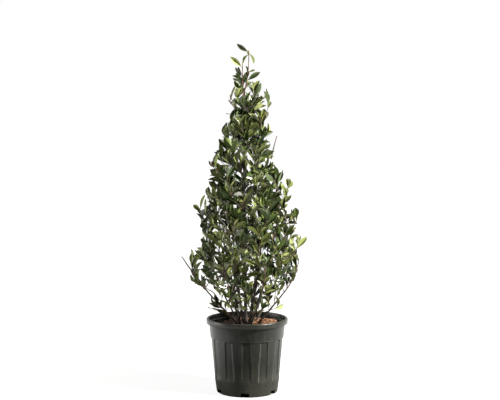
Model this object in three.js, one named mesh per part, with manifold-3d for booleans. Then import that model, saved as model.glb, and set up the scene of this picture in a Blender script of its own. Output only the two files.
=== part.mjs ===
// A compact fraser photinia, grown as a narrow many-stemmed pyramid, in its round black nursery pot.
// Lengths are in millimetres and angles in degrees. +Z is up, the front of the shrub faces -Y,
// and the origin is the middle of the pot's underside, on the floor.
import * as THREE from "three";
import { mergeVertices } from "three/addons/utils/BufferGeometryUtils.js";
import Module from "manifold-3d";

const wasm = await Module();
wasm.setup();

// Crown: a cone above its belly, and a bowl below it
const CROWN_TOP = 1192;
const CROWN_TIP_RADIUS = 26;
const BELLY_HEIGHT = 480;
const BELLY_RADIUS = 188;
const BOWL_HEIGHT = 230;
const BOWL_SQUARENESS = 2.2;
const CROWN_FOOT = 264;

// Pot: a lipped rim over a smooth collar, and a fluted wall that runs out into a smooth foot
const POT_HEIGHT = 254;
const POT_RADIUS = 140;
const POT_FOOT_RADIUS = 105;
const POT_WALL = 2.6;
const POT_FLOOR = 6;
const LIP_HEIGHT = 17;
const LIP_SLOPE = 9;
const LIP_WIDTH = 10.5;
const LIP_ROUND = 4;
const COLLAR_FOOT = 190;
const COLLAR_STEP = 3.2;
const BASE_BOSS_RADIUS = 30;
const BASE_RING_RADIUS = 81;
const BASE_RECESS = 3;
const FLUTES = 12;
const FLUTE_DEPTH = 2.4;
const FLUTE_FADE = [48, 76];
const FLUTE_HALF = 5.5;
const FLUTE_SLOPE = 2;
const FLUTE_TURN = -1.2;
const DRAIN_NOTCHES = 6;
const NOTCH_WIDTH = 28;
const NOTCH_HEIGHT = 15;
const NOTCH_TURN = -3.8;

// Potting soil, a little heaped round the stems
const SOIL_EDGE = 227;
const SOIL_TOP = 234;
const SOIL_MOUND_RADIUS = 52;
const SOIL_SIDES = 24;

// Woody stems: how much they widen at the soil, taper to their tips and kink where they budded
const ROOT_FLARE = 1.35;
const TIP_TAPER = 0.42;
const TIP_RADIUS = 2.4;
const STEM_KINK = 1.6;

// Clearance between solids that meet
const GAP = 0.3;
const CLEAR = 0.6;

// Leaves and twigs: a leaf's width and keel are shares of its length, and the wood is three-sided
const LEAF_LENGTH = 78;
const LEAF_WIDTH = 0.43;
const LEAF_KEEL = 0.034;
const TWIG_RADIUS = 1.7;
const SPRAY_RADIUS = 4.2;
const SPRAY_END_RADIUS = 3;
const SPRAY_STEPS = 4;
const GOLDEN_ANGLE = 137.5;
const OWN_MARGIN = 1.4;

const UP = new THREE.Vector3(0, 0, 1);
const radians = THREE.MathUtils.degToRad;

// A repeatable run of random numbers from 0 to 1.
function seeded(seed) {
  let state = seed >>> 0;
  return () => {
    state = (state + 0x6d2b79f5) >>> 0;
    let t = Math.imul(state ^ (state >>> 15), 1 | state);
    t = (t + Math.imul(t ^ (t >>> 7), 61 | t)) ^ t;
    return ((t ^ (t >>> 14)) >>> 0) / 4294967296;
  };
}

// The unit vector at an azimuth round Z, counted from +X towards +Y, and a rise above the level.
function heading(azimuth, rise = 0) {
  const a = radians(azimuth);
  const r = radians(rise);
  return new THREE.Vector3(Math.cos(a) * Math.cos(r), Math.sin(a) * Math.cos(r), Math.sin(r));
}

// How far the crown reaches from its axis at a height.
function crownRadius(height) {
  if (height >= BELLY_HEIGHT) {
    const share = (height - BELLY_HEIGHT) / (CROWN_TOP - BELLY_HEIGHT);
    return BELLY_RADIUS + (CROWN_TIP_RADIUS - BELLY_RADIUS) * share;
  }
  const share = (BELLY_HEIGHT - height) / BOWL_HEIGHT;
  return BELLY_RADIUS * Math.max(0, 1 - share ** BOWL_SQUARENESS) ** (1 / BOWL_SQUARENESS);
}

function indexed(points, faces) {
  const geometry = new THREE.BufferGeometry();
  const positions = points.flatMap((p) => [p.x, p.y, p.z]);
  geometry.setAttribute("position", new THREE.Float32BufferAttribute(positions, 3));
  geometry.setIndex(faces.flat());
  return geometry;
}

function solidOf(geometry) {
  const bare = geometry.clone();
  bare.deleteAttribute("normal");
  bare.deleteAttribute("uv");
  const merged = mergeVertices(bare, 1e-4);
  const vertProperties = new Float32Array(merged.attributes.position.array);
  const triVerts = new Uint32Array(merged.index.array);
  return new wasm.Manifold(new wasm.Mesh({ numProp: 3, vertProperties, triVerts }));
}

function geometryOf(solid) {
  const mesh = solid.getMesh();
  const geometry = new THREE.BufferGeometry();
  const positions = new Float32Array(mesh.numVert * 3);
  for (let i = 0; i < mesh.numVert; i++) {
    positions.set(mesh.vertProperties.subarray(i * mesh.numProp, i * mesh.numProp + 3), i * 3);
  }
  geometry.setAttribute("position", new THREE.BufferAttribute(positions, 3));
  geometry.setIndex(new THREE.BufferAttribute(new Uint32Array(mesh.triVerts), 1));
  geometry.computeVertexNormals();
  return geometry;
}

// A closed tube through the points, with a radius at each. Its first ring can face a given way.
function taperedTube(line, radii, sides, footNormal) {
  const points = [];
  const faces = [];
  let across = null;
  line.forEach((centre, i) => {
    const before = line[Math.max(0, i - 1)];
    const after = line[Math.min(line.length - 1, i + 1)];
    const along = i === 0 && footNormal ? footNormal.clone() : after.clone().sub(before).normalize();
    if (!across) across = Math.abs(along.z) > 0.9 ? new THREE.Vector3(1, 0, 0) : UP.clone();
    across = across.clone().addScaledVector(along, -across.dot(along)).normalize();
    const aside = along.clone().cross(across);
    for (let k = 0; k < sides; k++) {
      const turn = (2 * Math.PI * k) / sides;
      const spoke = across.clone().multiplyScalar(Math.cos(turn)).addScaledVector(aside, Math.sin(turn));
      points.push(centre.clone().addScaledVector(spoke, radii[i]));
    }
  });
  for (let i = 0; i + 1 < line.length; i++) {
    for (let k = 0; k < sides; k++) {
      const a = i * sides + k;
      const b = i * sides + ((k + 1) % sides);
      faces.push([a, b, b + sides], [a, b + sides, a + sides]);
    }
  }
  const last = (line.length - 1) * sides;
  for (let k = 1; k + 1 < sides; k++) {
    faces.push([0, k + 1, k], [last, last + k, last + k + 1]);
  }
  return indexed(points, faces);
}

// The pot's section as radius and height, from the boss under it out, up the wall and down inside.
function potSection() {
  const collarTop = POT_HEIGHT - LIP_HEIGHT - LIP_SLOPE;
  const footWall = POT_FOOT_RADIUS + 2;
  const slope = (POT_RADIUS - LIP_WIDTH - footWall) / collarTop;
  const wallAt = (height, step = 0) => footWall + slope * height - step * COLLAR_STEP;
  const [fadeFoot, fadeTop] = FLUTE_FADE;
  const outside = [
    [BASE_BOSS_RADIUS, 0],
    [BASE_BOSS_RADIUS + BASE_RECESS, BASE_RECESS],
    [BASE_RING_RADIUS - BASE_RECESS, BASE_RECESS],
    [BASE_RING_RADIUS, 0],
    [POT_FOOT_RADIUS - 2.5, 0],
    [POT_FOOT_RADIUS, 3],
    [wallAt(fadeFoot, 0.2), fadeFoot],
    [wallAt(fadeTop, 0.6), fadeTop],
    [wallAt(COLLAR_FOOT, 1), COLLAR_FOOT - 4],
    [wallAt(COLLAR_FOOT), COLLAR_FOOT],
    [wallAt(collarTop), collarTop],
    [POT_RADIUS, POT_HEIGHT - LIP_HEIGHT],
    [POT_RADIUS, POT_HEIGHT - LIP_ROUND],
    [POT_RADIUS - LIP_ROUND, POT_HEIGHT],
    [POT_RADIUS - 2 * LIP_ROUND, POT_HEIGHT],
  ];
  const inside = [
    [wallAt(POT_HEIGHT - LIP_HEIGHT) - POT_WALL, POT_HEIGHT - LIP_HEIGHT - 2],
    [wallAt(COLLAR_FOOT) - POT_WALL, COLLAR_FOOT],
    [wallAt(COLLAR_FOOT, 1) - POT_WALL, COLLAR_FOOT - 6],
    [wallAt(fadeTop, 1) - POT_WALL, fadeTop],
    [POT_FOOT_RADIUS - POT_WALL, POT_FLOOR],
  ];
  return { outside, inside };
}

// How deep the flutes are cut at a height, on the wall between the foot and the collar.
function fluteDepth(height) {
  if (height >= COLLAR_FOOT || height <= FLUTE_FADE[0]) return 0;
  return FLUTE_DEPTH * Math.min(1, (height - FLUTE_FADE[0]) / (FLUTE_FADE[1] - FLUTE_FADE[0]));
}

// The stops round the pot: a slope down, a flute's flat floor and a slope up, with a rib between.
function fluteStops() {
  const stops = [];
  for (let i = 0; i < FLUTES; i++) {
    const middle = -90 + FLUTE_TURN + (i * 360) / FLUTES;
    stops.push([middle - FLUTE_HALF - FLUTE_SLOPE, 0], [middle - FLUTE_HALF, 1]);
    stops.push([middle + FLUTE_HALF, 1], [middle + FLUTE_HALF + FLUTE_SLOPE, 0]);
  }
  return stops;
}

function potSolid() {
  const { outside, inside } = potSection();
  const stops = fluteStops();
  const rows = [...outside, ...inside];
  const points = [new THREE.Vector3(0, 0, 0)];
  rows.forEach(([radius, height]) =>
    stops.forEach(([azimuth, cut]) =>
      points.push(heading(azimuth).multiplyScalar(radius - cut * fluteDepth(height)).setZ(height)),
    ),
  );
  points.push(new THREE.Vector3(0, 0, POT_FLOOR));
  const n = stops.length;
  const faces = [];
  for (let k = 0; k < n; k++) {
    const next = (k + 1) % n;
    faces.push([0, 1 + next, 1 + k]);
    rows.slice(1).forEach((row, i) => {
      const low = 1 + i * n;
      const high = low + n;
      faces.push([low + k, low + next, high + next], [low + k, high + next, high + k]);
    });
    const rim = 1 + (rows.length - 1) * n;
    faces.push([rim + k, rim + next, points.length - 1]);
  }
  let pot = solidOf(indexed(points, faces));
  for (let i = 0; i < DRAIN_NOTCHES; i++) {
    const azimuth = -90 + NOTCH_TURN + (i * 360) / DRAIN_NOTCHES;
    const notch = new THREE.BoxGeometry(24, NOTCH_WIDTH, 2 * NOTCH_HEIGHT);
    notch.translate(POT_FOOT_RADIUS + 4, 0, 0);
    notch.rotateZ(radians(azimuth));
    pot = pot.subtract(solidOf(notch));
  }
  return pot;
}

// The soil fills the pot up to its collar, clear of the flat stretches and flutes of its wall.
function soilSolid() {
  const [lip, collar, stepped, low, foot] = potSection().inside;
  const ribHalf = 180 / FLUTES - FLUTE_HALF - FLUTE_SLOPE;
  const clearOf = (radius) => radius * Math.cos(radians(ribHalf)) - GAP;
  const atEdge = (SOIL_EDGE - collar[1]) / (lip[1] - collar[1]);
  const profile = [
    [0, POT_FLOOR + GAP],
    [clearOf(foot[0]) - 1, POT_FLOOR + GAP],
    [clearOf(low[0] - FLUTE_DEPTH), low[1]],
    [clearOf(stepped[0] - FLUTE_DEPTH), stepped[1]],
    [clearOf(collar[0] + (lip[0] - collar[0]) * atEdge), SOIL_EDGE],
    [SOIL_MOUND_RADIUS * 1.65, (SOIL_EDGE + SOIL_TOP) / 2],
    [SOIL_MOUND_RADIUS, SOIL_TOP],
    [0, SOIL_TOP],
  ];
  const section = profile.map(([radius, height]) => new THREE.Vector2(radius, height));
  const turned = new THREE.LatheGeometry(section, SOIL_SIDES);
  turned.rotateX(Math.PI / 2);
  return solidOf(turned);
}

// Each woody stem: its side, how far from the middle it leaves the soil and ends, its height, how
// thick it is at its foot, and how far its middle swings out. Stems bear the crown, and the thinner
// boughs the low foliage.
const LEADER = { name: "leader", azimuth: 180, foot: 4, tip: 9, height: 1032, thick: 6.4, swing: 7 };
const STEMS = [
  LEADER,
  { name: "stem_right", azimuth: 0, foot: 15, tip: 96, height: 530, thick: 6, swing: 12 },
  { name: "stem_back_right", azimuth: 62, foot: 21, tip: 94, height: 556, thick: 4.9, swing: 10 },
  { name: "stem_back_left", azimuth: 124, foot: 22, tip: 92, height: 534, thick: 5, swing: 9 },
  { name: "stem_left", azimuth: 174, foot: 25, tip: 92, height: 562, thick: 5.4, swing: -4 },
  { name: "stem_front_left", azimuth: 236, foot: 19, tip: 96, height: 520, thick: 4.6, swing: 8 },
  { name: "stem_front_right", azimuth: 302, foot: 18, tip: 96, height: 540, thick: 4.8, swing: 11 },
  { name: "bough_right", azimuth: 352, foot: 37, tip: 134, height: 352, thick: 3.4, swing: 4 },
  { name: "bough_back_right", azimuth: 36, foot: 36, tip: 126, height: 374, thick: 3.4, swing: 8 },
  { name: "bough_back", azimuth: 92, foot: 37, tip: 130, height: 362, thick: 3.3, swing: 8 },
  { name: "bough_back_left", azimuth: 146, foot: 37, tip: 124, height: 378, thick: 3.3, swing: 8 },
  { name: "bough_left", azimuth: 203, foot: 33, tip: 146, height: 358, thick: 4, swing: 5 },
  { name: "bough_front_left", azimuth: 242, foot: 37, tip: 126, height: 366, thick: 3.3, swing: 8 },
  { name: "bough_front_right", azimuth: 292, foot: 37, tip: 128, height: 362, thick: 3.3, swing: 8 },
];

// How many bends a stem has, and how far round from its foot its tip ends.
const BENDS = { leader: 12, stem: 6, bough: 5 };
const TIP_TURN = { stem_right: 12, bough_left: -12 };

function bendsOf(stem) {
  return BENDS[stem.name.split("_")[0]];
}

// The middle line of a stem: a bow from foot to tip, with small kinks where it has budded.
function stemLine(stem) {
  const foot = heading(stem.azimuth).multiplyScalar(stem.foot).setZ(SOIL_TOP + GAP);
  const tipAzimuth = stem.azimuth + (TIP_TURN[stem.name] ?? 0);
  const tip = heading(tipAzimuth).multiplyScalar(stem.tip).setZ(stem.height);
  const middle = foot.clone().lerp(tip, 0.5).addScaledVector(heading(stem.azimuth), stem.swing);
  const bow = new THREE.QuadraticBezierCurve3(foot, middle, tip);
  const aside = heading(stem.azimuth + 90);
  return bow.getPoints(bendsOf(stem)).map((point, i) => {
    const kink = i === 0 ? 0 : STEM_KINK * Math.sin(i * 2.4 + stem.azimuth);
    return point.addScaledVector(aside, kink);
  });
}

// Thickness along a stem: a root flare at the soil, then an even taper to its tip.
function stemRadii(stem) {
  const end = Math.max(TIP_RADIUS, stem.thick * TIP_TAPER);
  return stemLine(stem).map((_, i) => {
    const taper = stem.thick + (end - stem.thick) * (i / bendsOf(stem));
    return i === 0 ? taper * ROOT_FLARE : taper;
  });
}

function stemSolid(stem) {
  const line = stemLine(stem);
  const radii = stemRadii(stem);
  const flareTop = line[0].clone().lerp(line[1], 0.3);
  line.splice(1, 0, flareTop);
  radii.splice(1, 0, stem.thick * 1.05);
  return solidOf(taperedTube(line, radii, stem.thick > 4.5 ? 6 : 5, UP));
}

// A point on a stem's middle line at a height, and the stem's radius there.
function stemAt(stem, height) {
  const line = stemLine(stem);
  const radii = stemRadii(stem);
  const i = Math.max(1, line.findIndex((p) => p.z >= height));
  const share = (height - line[i - 1].z) / (line[i].z - line[i - 1].z);
  return {
    point: line[i - 1].clone().lerp(line[i], share),
    radius: radii[i - 1] + (radii[i] - radii[i - 1]) * share,
    along: line[i].clone().sub(line[i - 1]).normalize(),
  };
}

// Masses of foliage. A mass at a stem's end grows on from its tip, and one at its side leaves it at
// the height given. Each is grown from its own seed. The tiers round the leader, from the lowest up:
const AROUND_LEADER = [
  { tier: "heart", height: 500, count: 3, turn: 30, rise: 40, length: 92 },
  { tier: "waist", height: 622, count: 5, turn: 20, rise: 26, length: 112 },
  { tier: "upper", height: 732, count: 4, turn: 52, rise: 28, length: 96 },
  { tier: "shoulder", height: 832, count: 4, turn: 5, rise: 32, length: 80 },
  { tier: "neck", height: 930, count: 3, turn: 62, rise: 38, length: 70 },
];

// The one spray that stands well out of the crown.
const LONGEST_SPRAY = "foliage_low_left";

function plannedMasses() {
  const masses = [];
  STEMS.forEach((stem, i) => {
    const where = stem.name.replace(/^(stem|bough)_/, "");
    if (stem === LEADER) {
      masses.push(endMass("foliage_top", stem, 0.4, 112, 101));
    } else if (stem.name.startsWith("bough")) {
      masses.push(endMass(`foliage_low_${where}`, stem, 0.1, 100, 200 + i));
    } else {
      const level = 388 + 9 * (i % 3);
      const side = { azimuth: stem.azimuth + 28, rise: 24 };
      masses.push(endMass(`foliage_mid_${where}`, stem, 0, 104, 300 + i));
      masses.push(sideMass(`foliage_belly_${where}`, stem, level, side, 118, 400 + i));
    }
  });
  AROUND_LEADER.forEach(({ tier, height, count, turn, rise, length }, t) => {
    for (let k = 0; k < count; k++) {
      const name = `foliage_${tier}_${k + 1}`;
      const level = height + 12 * ((k * 2) % count) - 10;
      const side = { azimuth: turn + (360 * k) / count, rise };
      masses.push(sideMass(name, LEADER, level, side, length, 500 + 10 * t + k));
    }
  });
  masses.forEach((mass) => {
    mass.line = massStem(mass);
    mass.reach = mass.name === LONGEST_SPRAY ? 1.17 : 0.98 + 0.09 * seeded(mass.seed + 90)();
  });
  return masses;
}

function endMass(name, stem, lift, length, seed) {
  const line = stemLine(stem);
  const footNormal = line.at(-1).clone().sub(line.at(-2)).normalize();
  const start = line.at(-1).clone().addScaledVector(footNormal, GAP);
  const out = footNormal.clone().addScaledVector(UP, lift).normalize();
  return { name, start, out, footNormal, length, seed };
}

function sideMass(name, stem, height, { azimuth, rise }, length, seed) {
  const { point, radius, along } = stemAt(stem, height);
  const footNormal = heading(azimuth);
  footNormal.addScaledVector(along, -footNormal.dot(along)).normalize();
  const start = point.clone().addScaledVector(footNormal, radius + GAP);
  return { name, start, out: heading(azimuth, rise), footNormal, length, seed };
}

// The stem of a mass: it bends up towards the light a little at each step.
function massStem(mass) {
  const random = seeded(mass.seed);
  const line = [mass.start.clone()];
  const along = mass.out.clone();
  for (let i = 0; i < SPRAY_STEPS; i++) {
    line.push(line.at(-1).clone().addScaledVector(along, mass.length / SPRAY_STEPS));
    along.x += (random() - 0.5) * 0.18;
    along.y += (random() - 0.5) * 0.18;
    along.addScaledVector(UP, 0.2).normalize();
  }
  return line;
}

// How far a point lies from a line of points, less the line's radius there where it has one.
function distanceToLine(point, line, radii) {
  let least = Infinity;
  for (let i = 0; i + 1 < line.length; i++) {
    const nearest = new THREE.Vector3();
    new THREE.Line3(line[i], line[i + 1]).closestPointToPoint(point, true, nearest);
    least = Math.min(least, nearest.distanceTo(point) - (radii ? radii[i] : 0));
  }
  return least;
}

// A space of its own: inside the crown, and nearer to this mass's stem than to any other's.
function ownSpace(mass, masses) {
  const others = masses.filter((m) => m !== mass && m.line[2].distanceTo(mass.line[2]) < 330);
  return (point) => {
    if (point.z < CROWN_FOOT || point.z > CROWN_TOP) return false;
    if (Math.hypot(point.x, point.y) > crownRadius(point.z) * mass.reach) return false;
    const own = distanceToLine(point, mass.line) + OWN_MARGIN;
    return others.every((m) => distanceToLine(point, m.line) > own);
  };
}

function clearOfStems(point) {
  const room = TWIG_RADIUS + 2 * CLEAR;
  return STEMS.every((stem) => distanceToLine(point, stemLine(stem), stemRadii(stem)) > room);
}

// A leaf: a blade of six corners, flat above and keeled along its midrib below. Its outline is given
// as shares of its length, with half its width there.
const LEAF_OUTLINE = [
  [0.3, 0.37],
  [0.66, 0.5],
];
function leafGeometry(root, along, top, length) {
  const side = top.clone().cross(along);
  const width = length * LEAF_WIDTH;
  const corners = [root.clone()];
  LEAF_OUTLINE.forEach(([share, half]) => {
    const middle = root.clone().addScaledVector(along, share * length);
    middle.addScaledVector(top, length * LEAF_KEEL);
    corners.push(middle.clone().addScaledVector(side, half * width));
    corners.push(middle.clone().addScaledVector(side, -half * width));
  });
  corners.push(root.clone().addScaledVector(along, length));
  const above = [
    [0, 2, 1],
    [1, 2, 4],
    [1, 4, 3],
    [3, 4, 5],
  ];
  const below = [
    [0, 1, 5],
    [1, 3, 5],
    [0, 5, 2],
    [2, 5, 4],
  ];
  return indexed(corners, [...above, ...below]);
}

// The direction that leaves another at an angle, on the side given by a turn round it.
function branchOff(along, turn, angle) {
  const level = Math.abs(along.z) > 0.95 ? new THREE.Vector3(1, 0, 0) : UP;
  const across = along.clone().cross(level).normalize();
  const spoke = across.applyAxisAngle(along, radians(turn));
  const lean = radians(angle);
  return along.clone().multiplyScalar(Math.cos(lean)).addScaledVector(spoke, Math.sin(lean));
}

// How a mass grows: side twigs set round its stem by the golden angle, and the places of its leaves,
// each with the direction of the wood that bears it, and the turn and angle at which it leaves that.
// A twig that would leave the mass's space or meet a stem turns round its own stem or stays shorter.
const TWIG_TURNS = [0, 35, -35, 70, -70, 110, -110, 150];
const TWIG_LENGTHS = [1, 0.7];
function growth(mass, inSpace) {
  const random = seeded(mass.seed + 7000);
  const twigs = [];
  const sites = [];
  const firstTurn = 360 * random();
  const leaf = (end, along, back, turn, angle) => {
    sites.push({ root: end.clone().addScaledVector(along, -back), along, turn, angle });
  };
  mass.line.forEach((node, i) => {
    const last = i === SPRAY_STEPS;
    const start = Math.min(i, SPRAY_STEPS - 1);
    const along = mass.line[start + 1].clone().sub(mass.line[start]).normalize();
    const turn = firstTurn + GOLDEN_ANGLE * i;
    const reach = mass.length * (0.62 - 0.08 * i) * (0.85 + 0.3 * random());
    const twigTurn = 360 * random();
    if (i === 0) {
      leaf(node, along, -9, turn, 92);
      leaf(node, along, -16, turn + 180, 84);
    } else if (last) {
      leaf(node, along, 2.5, turn, 10);
      leaf(node, along, 8, turn + 90, 46);
      leaf(node, along, 14, turn + 270, 54);
    } else {
      leaf(node, along, -8, turn + 180, 62);
      const out = twigDirection(node, along, turn, 54 - 4 * i, reach, inSpace);
      if (!out) {
        leaf(node, along, -2, turn, 62);
        return;
      }
      const end = node.clone().add(out);
      out.normalize();
      twigs.push([node.clone(), end]);
      leaf(node.clone().lerp(end, 0.5), out, 0, twigTurn, 56);
      leaf(end, out, 9, twigTurn + GOLDEN_ANGLE, 52);
      leaf(end, out, 2.5, twigTurn + 2 * GOLDEN_ANGLE, 16);
    }
  });
  return { twigs, sites };
}

function twigDirection(node, along, turn, angle, reach, inSpace) {
  for (const share of TWIG_LENGTHS) {
    for (const shift of TWIG_TURNS) {
      const out = branchOff(along, turn + shift, angle).multiplyScalar(reach * share);
      const stops = [0.4, 0.7, 1].map((part) => node.clone().addScaledVector(out, part));
      if (stops.every((stop) => inSpace(stop) && clearOfStems(stop))) return out;
    }
  }
  return null;
}

// One mass as one solid. A leaf that would leave the mass's space, or come too near a limb or another
// leaf, turns round its twig or stays smaller, and is skipped where that doesn't help.
const LEAF_TURNS = [0, 30, -30, 60, -60, 95, -95, 130, -130, 170];
const LEAF_ANGLES = [0, 16, -16];
const LEAF_SIZES = [1, 0.86, 0.72];
function massSolid(mass, masses, limbs) {
  const random = seeded(mass.seed + 14000);
  const inSpace = ownSpace(mass, masses);
  const { twigs, sites } = growth(mass, inSpace);
  const thin = (SPRAY_RADIUS - SPRAY_END_RADIUS) / SPRAY_STEPS;
  const radii = mass.line.map((_, i) => SPRAY_RADIUS - thin * i);
  const wood = [solidOf(taperedTube(mass.line, radii, 3, mass.footNormal))];
  twigs.forEach((twig) => wood.push(solidOf(taperedTube(twig, [TWIG_RADIUS, TWIG_RADIUS], 3))));
  const leaves = [];
  const fits = (geometry, solid) => {
    const p = geometry.attributes.position;
    for (let i = 0; i < p.count; i++) {
      if (!inSpace(new THREE.Vector3().fromBufferAttribute(p, i))) return false;
    }
    if (solid.minGap(limbs, 2 * CLEAR) <= CLEAR) return false;
    return leaves.every((other) => other.minGap(solid, 2 * CLEAR) > CLEAR);
  };
  const placedLeaf = (site, size) => {
    for (const share of LEAF_SIZES) {
      for (const angle of LEAF_ANGLES) {
        for (const turn of LEAF_TURNS) {
          const out = branchOff(site.along, site.turn + turn, Math.max(8, site.angle + angle));
          const top = site.along.clone().addScaledVector(out, -site.along.dot(out)).normalize();
          const geometry = leafGeometry(site.root, out, top, size * share);
          const solid = solidOf(geometry);
          if (fits(geometry, solid)) return solid;
        }
      }
    }
    return null;
  };
  sites.forEach((site) => {
    const leaf = placedLeaf(site, LEAF_LENGTH * (0.84 + 0.3 * random()));
    if (leaf) leaves.push(leaf);
  });
  const whole = wasm.Manifold.union([...wood, ...leaves]).simplify(0.02);
  const bodies = whole.decompose().sort((a, b) => b.volume() - a.volume());
  return bodies[0];
}

const finishes = {
  plastic: new THREE.MeshStandardMaterial({ color: 0x2f312c, roughness: 0.5, metalness: 0 }),
  soil: new THREE.MeshStandardMaterial({ color: 0x4a3222, roughness: 0.95, metalness: 0 }),
  bark: new THREE.MeshStandardMaterial({ color: 0x3a2c24, roughness: 0.85, metalness: 0 }),
  foliage: new THREE.MeshStandardMaterial({ color: 0x4a5f2a, roughness: 0.4, metalness: 0 }),
};

function addNode(group, name, solid, material) {
  const mesh = new THREE.Mesh(geometryOf(solid), material);
  mesh.name = name;
  group.add(mesh);
}

const shrub = new THREE.Group();
shrub.name = "potted_photinia";

const pot = potSolid();
const soil = soilSolid();
const limbSolids = STEMS.map(stemSolid);
addNode(shrub, "pot", pot, finishes.plastic);
addNode(shrub, "soil", soil, finishes.soil);
STEMS.forEach((stem, i) => addNode(shrub, stem.name, limbSolids[i], finishes.bark));

const limbs = wasm.Manifold.union([pot, soil, ...limbSolids]);
const masses = plannedMasses();
masses.forEach((mass) => addNode(shrub, mass.name, massSolid(mass, masses, limbs), finishes.foliage));

export default shrub;
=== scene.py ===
"""A compact fraser photinia in its nursery pot, grown around its construction model."""
import functools
import math
from collections import namedtuple

import bmesh
import bpy
import numpy as np
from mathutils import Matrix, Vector


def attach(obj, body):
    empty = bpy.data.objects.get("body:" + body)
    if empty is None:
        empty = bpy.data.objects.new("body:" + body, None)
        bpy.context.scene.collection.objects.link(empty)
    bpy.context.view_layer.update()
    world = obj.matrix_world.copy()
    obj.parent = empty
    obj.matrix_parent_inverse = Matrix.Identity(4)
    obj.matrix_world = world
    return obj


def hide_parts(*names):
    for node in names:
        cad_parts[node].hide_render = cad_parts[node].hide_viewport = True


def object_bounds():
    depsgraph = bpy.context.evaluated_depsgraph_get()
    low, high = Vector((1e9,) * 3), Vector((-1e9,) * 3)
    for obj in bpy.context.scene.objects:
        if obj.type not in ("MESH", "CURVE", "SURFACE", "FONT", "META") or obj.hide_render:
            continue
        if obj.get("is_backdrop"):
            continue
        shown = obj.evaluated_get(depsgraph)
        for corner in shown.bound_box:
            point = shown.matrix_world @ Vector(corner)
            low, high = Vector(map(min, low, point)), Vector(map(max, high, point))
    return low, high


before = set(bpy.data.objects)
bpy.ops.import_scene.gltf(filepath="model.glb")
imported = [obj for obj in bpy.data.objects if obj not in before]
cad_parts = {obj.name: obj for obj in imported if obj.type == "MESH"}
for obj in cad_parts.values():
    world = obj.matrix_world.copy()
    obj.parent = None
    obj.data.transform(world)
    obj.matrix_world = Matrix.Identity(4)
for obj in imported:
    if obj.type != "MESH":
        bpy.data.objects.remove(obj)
CAD_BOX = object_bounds()

bl_info = {
    "name": "Potted Photinia",
    "version": (1, 0, 0),
    "blender": (4, 5, 0),
    "location": "View3D > Sidebar > Photinia",
    "description": "Grows a leafy potted shrub, with its bark, pot, soil and a plain studio",
    "category": "Add Mesh",
}

# Lengths are in millimetres, as in the construction model, and are turned to metres in the meshes.
MM = 0.001
TINY = 1e-4
UP = np.array((0.0, 0.0, 1.0))
ASIDE = np.array((1.0, 0.0, 0.0))
FRONT = np.array((0.0, -1.0, 0.0))

# Crown: a cone above its belly, and a bowl below it
CROWN_TOP = 1192
CROWN_TIP_RADIUS = 26
BELLY_HEIGHT = 480
BELLY_RADIUS = 188
BOWL_HEIGHT = 230
BOWL_SQUARENESS = 2.2
CROWN_FOOT = 264

# Pot: a lipped rim over a smooth collar, and a fluted wall that runs out into a smooth foot
POT_HEIGHT = 254
POT_RADIUS = 140
POT_FOOT_RADIUS = 105
POT_WALL = 2.6
POT_FLOOR = 6
POT_SIDES = 288
LIP_HEIGHT = 17
LIP_SLOPE = 2.5
LIP_WIDTH = 10.5
LIP_ROUND = 4
COLLAR_FOOT = 190
COLLAR_STEP = 3.2
COLLAR_TOP = 228
BASE_BOSS_RADIUS = 30
BASE_RING_RADIUS = 81
BASE_RECESS = 3
DRAIN_NOTCHES = 6
NOTCH_WIDTH = 28
NOTCH_HEIGHT = 15
NOTCH_DEPTH = 36
NOTCH_TURN = -3.8

# Flutes: how deep they are, the heights where they start, are at their deepest and end in an arch,
# half their width above their foot and at their top, the slope of their sides and the bead beside
# them, all three in degrees, and how far the bead stands out as a share of their depth
FLUTES = 12
FLUTE_TURN = -1.2
FLUTE_DEPTH = 2.4
FLUTE_FOOT = 48
FLUTE_FULL = 76
FLUTE_TOP = 188
FLUTE_ARCH = 4
FLUTE_HALVES = (8.2, 6.4)
FLUTE_SLOPE = 1.6
BEAD_WIDTH = 1.3
BEAD_SHARE = 0.32

# Dust low on the pot; wear and painted highlights on its lip, a painted highlight on its collar's foot
# and painted highlights on the edges of its flutes, less on the far edge of each and none on the flute in
# front, which lies within a reach of the middle
DUST_TOP = 110
POT_DUST = (0.044, 0.044, 0.037)
POT_WEAR_AND_HIGHLIGHT = (0.07, 0.072, 0.062)
LIP_WEAR_AND_HIGHLIGHT = 0.55
COLLAR_HIGHLIGHT = 0.6
FAR_EDGE_HIGHLIGHT = 0.2
FRONT_FLUTE_REACH = 24

# Potting soil, a little heaped round the stems
SOIL_EDGE = 227
SOIL_TOP = 234
SOIL_RADIUS = 125.7
SOIL_MOUND_RADIUS = 52
SOIL_SIDES = 96
SOIL_RINGS = 26

# Woody stems: how much they widen at the soil, taper to their tips and kink where they budded
ROOT_FLARE = 1.35
TIP_TAPER = 0.42
TIP_RADIUS = 2.4
STEM_KINK = 1.6

# Clearance between solids that meet in the construction model
GAP = 0.3
CLEAR = 0.6

# Each stem: its name, azimuth, distances out at the soil and the tip, height, thickness and bow
Stem = namedtuple("Stem", "name azimuth foot tip height thick swing")
LEADER = Stem("leader", 180, 4, 9, 1032, 6.4, 7)
STEMS = (
    LEADER,
    Stem("stem_right", 0, 15, 96, 530, 6, 12),
    Stem("stem_back_right", 62, 21, 94, 556, 4.9, 10),
    Stem("stem_back_left", 124, 22, 92, 534, 5, 9),
    Stem("stem_left", 174, 25, 92, 562, 5.4, -4),
    Stem("stem_front_left", 236, 19, 96, 520, 4.6, 8),
    Stem("stem_front_right", 302, 18, 96, 540, 4.8, 11),
    Stem("bough_right", 352, 37, 134, 352, 3.4, 4),
    Stem("bough_back_right", 36, 36, 126, 374, 3.4, 8),
    Stem("bough_back", 92, 37, 130, 362, 3.3, 8),
    Stem("bough_back_left", 146, 37, 124, 378, 3.3, 8),
    Stem("bough_left", 203, 33, 146, 358, 4, 5),
    Stem("bough_front_left", 242, 37, 126, 366, 3.3, 8),
    Stem("bough_front_right", 292, 37, 128, 362, 3.3, 8),
)
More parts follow.
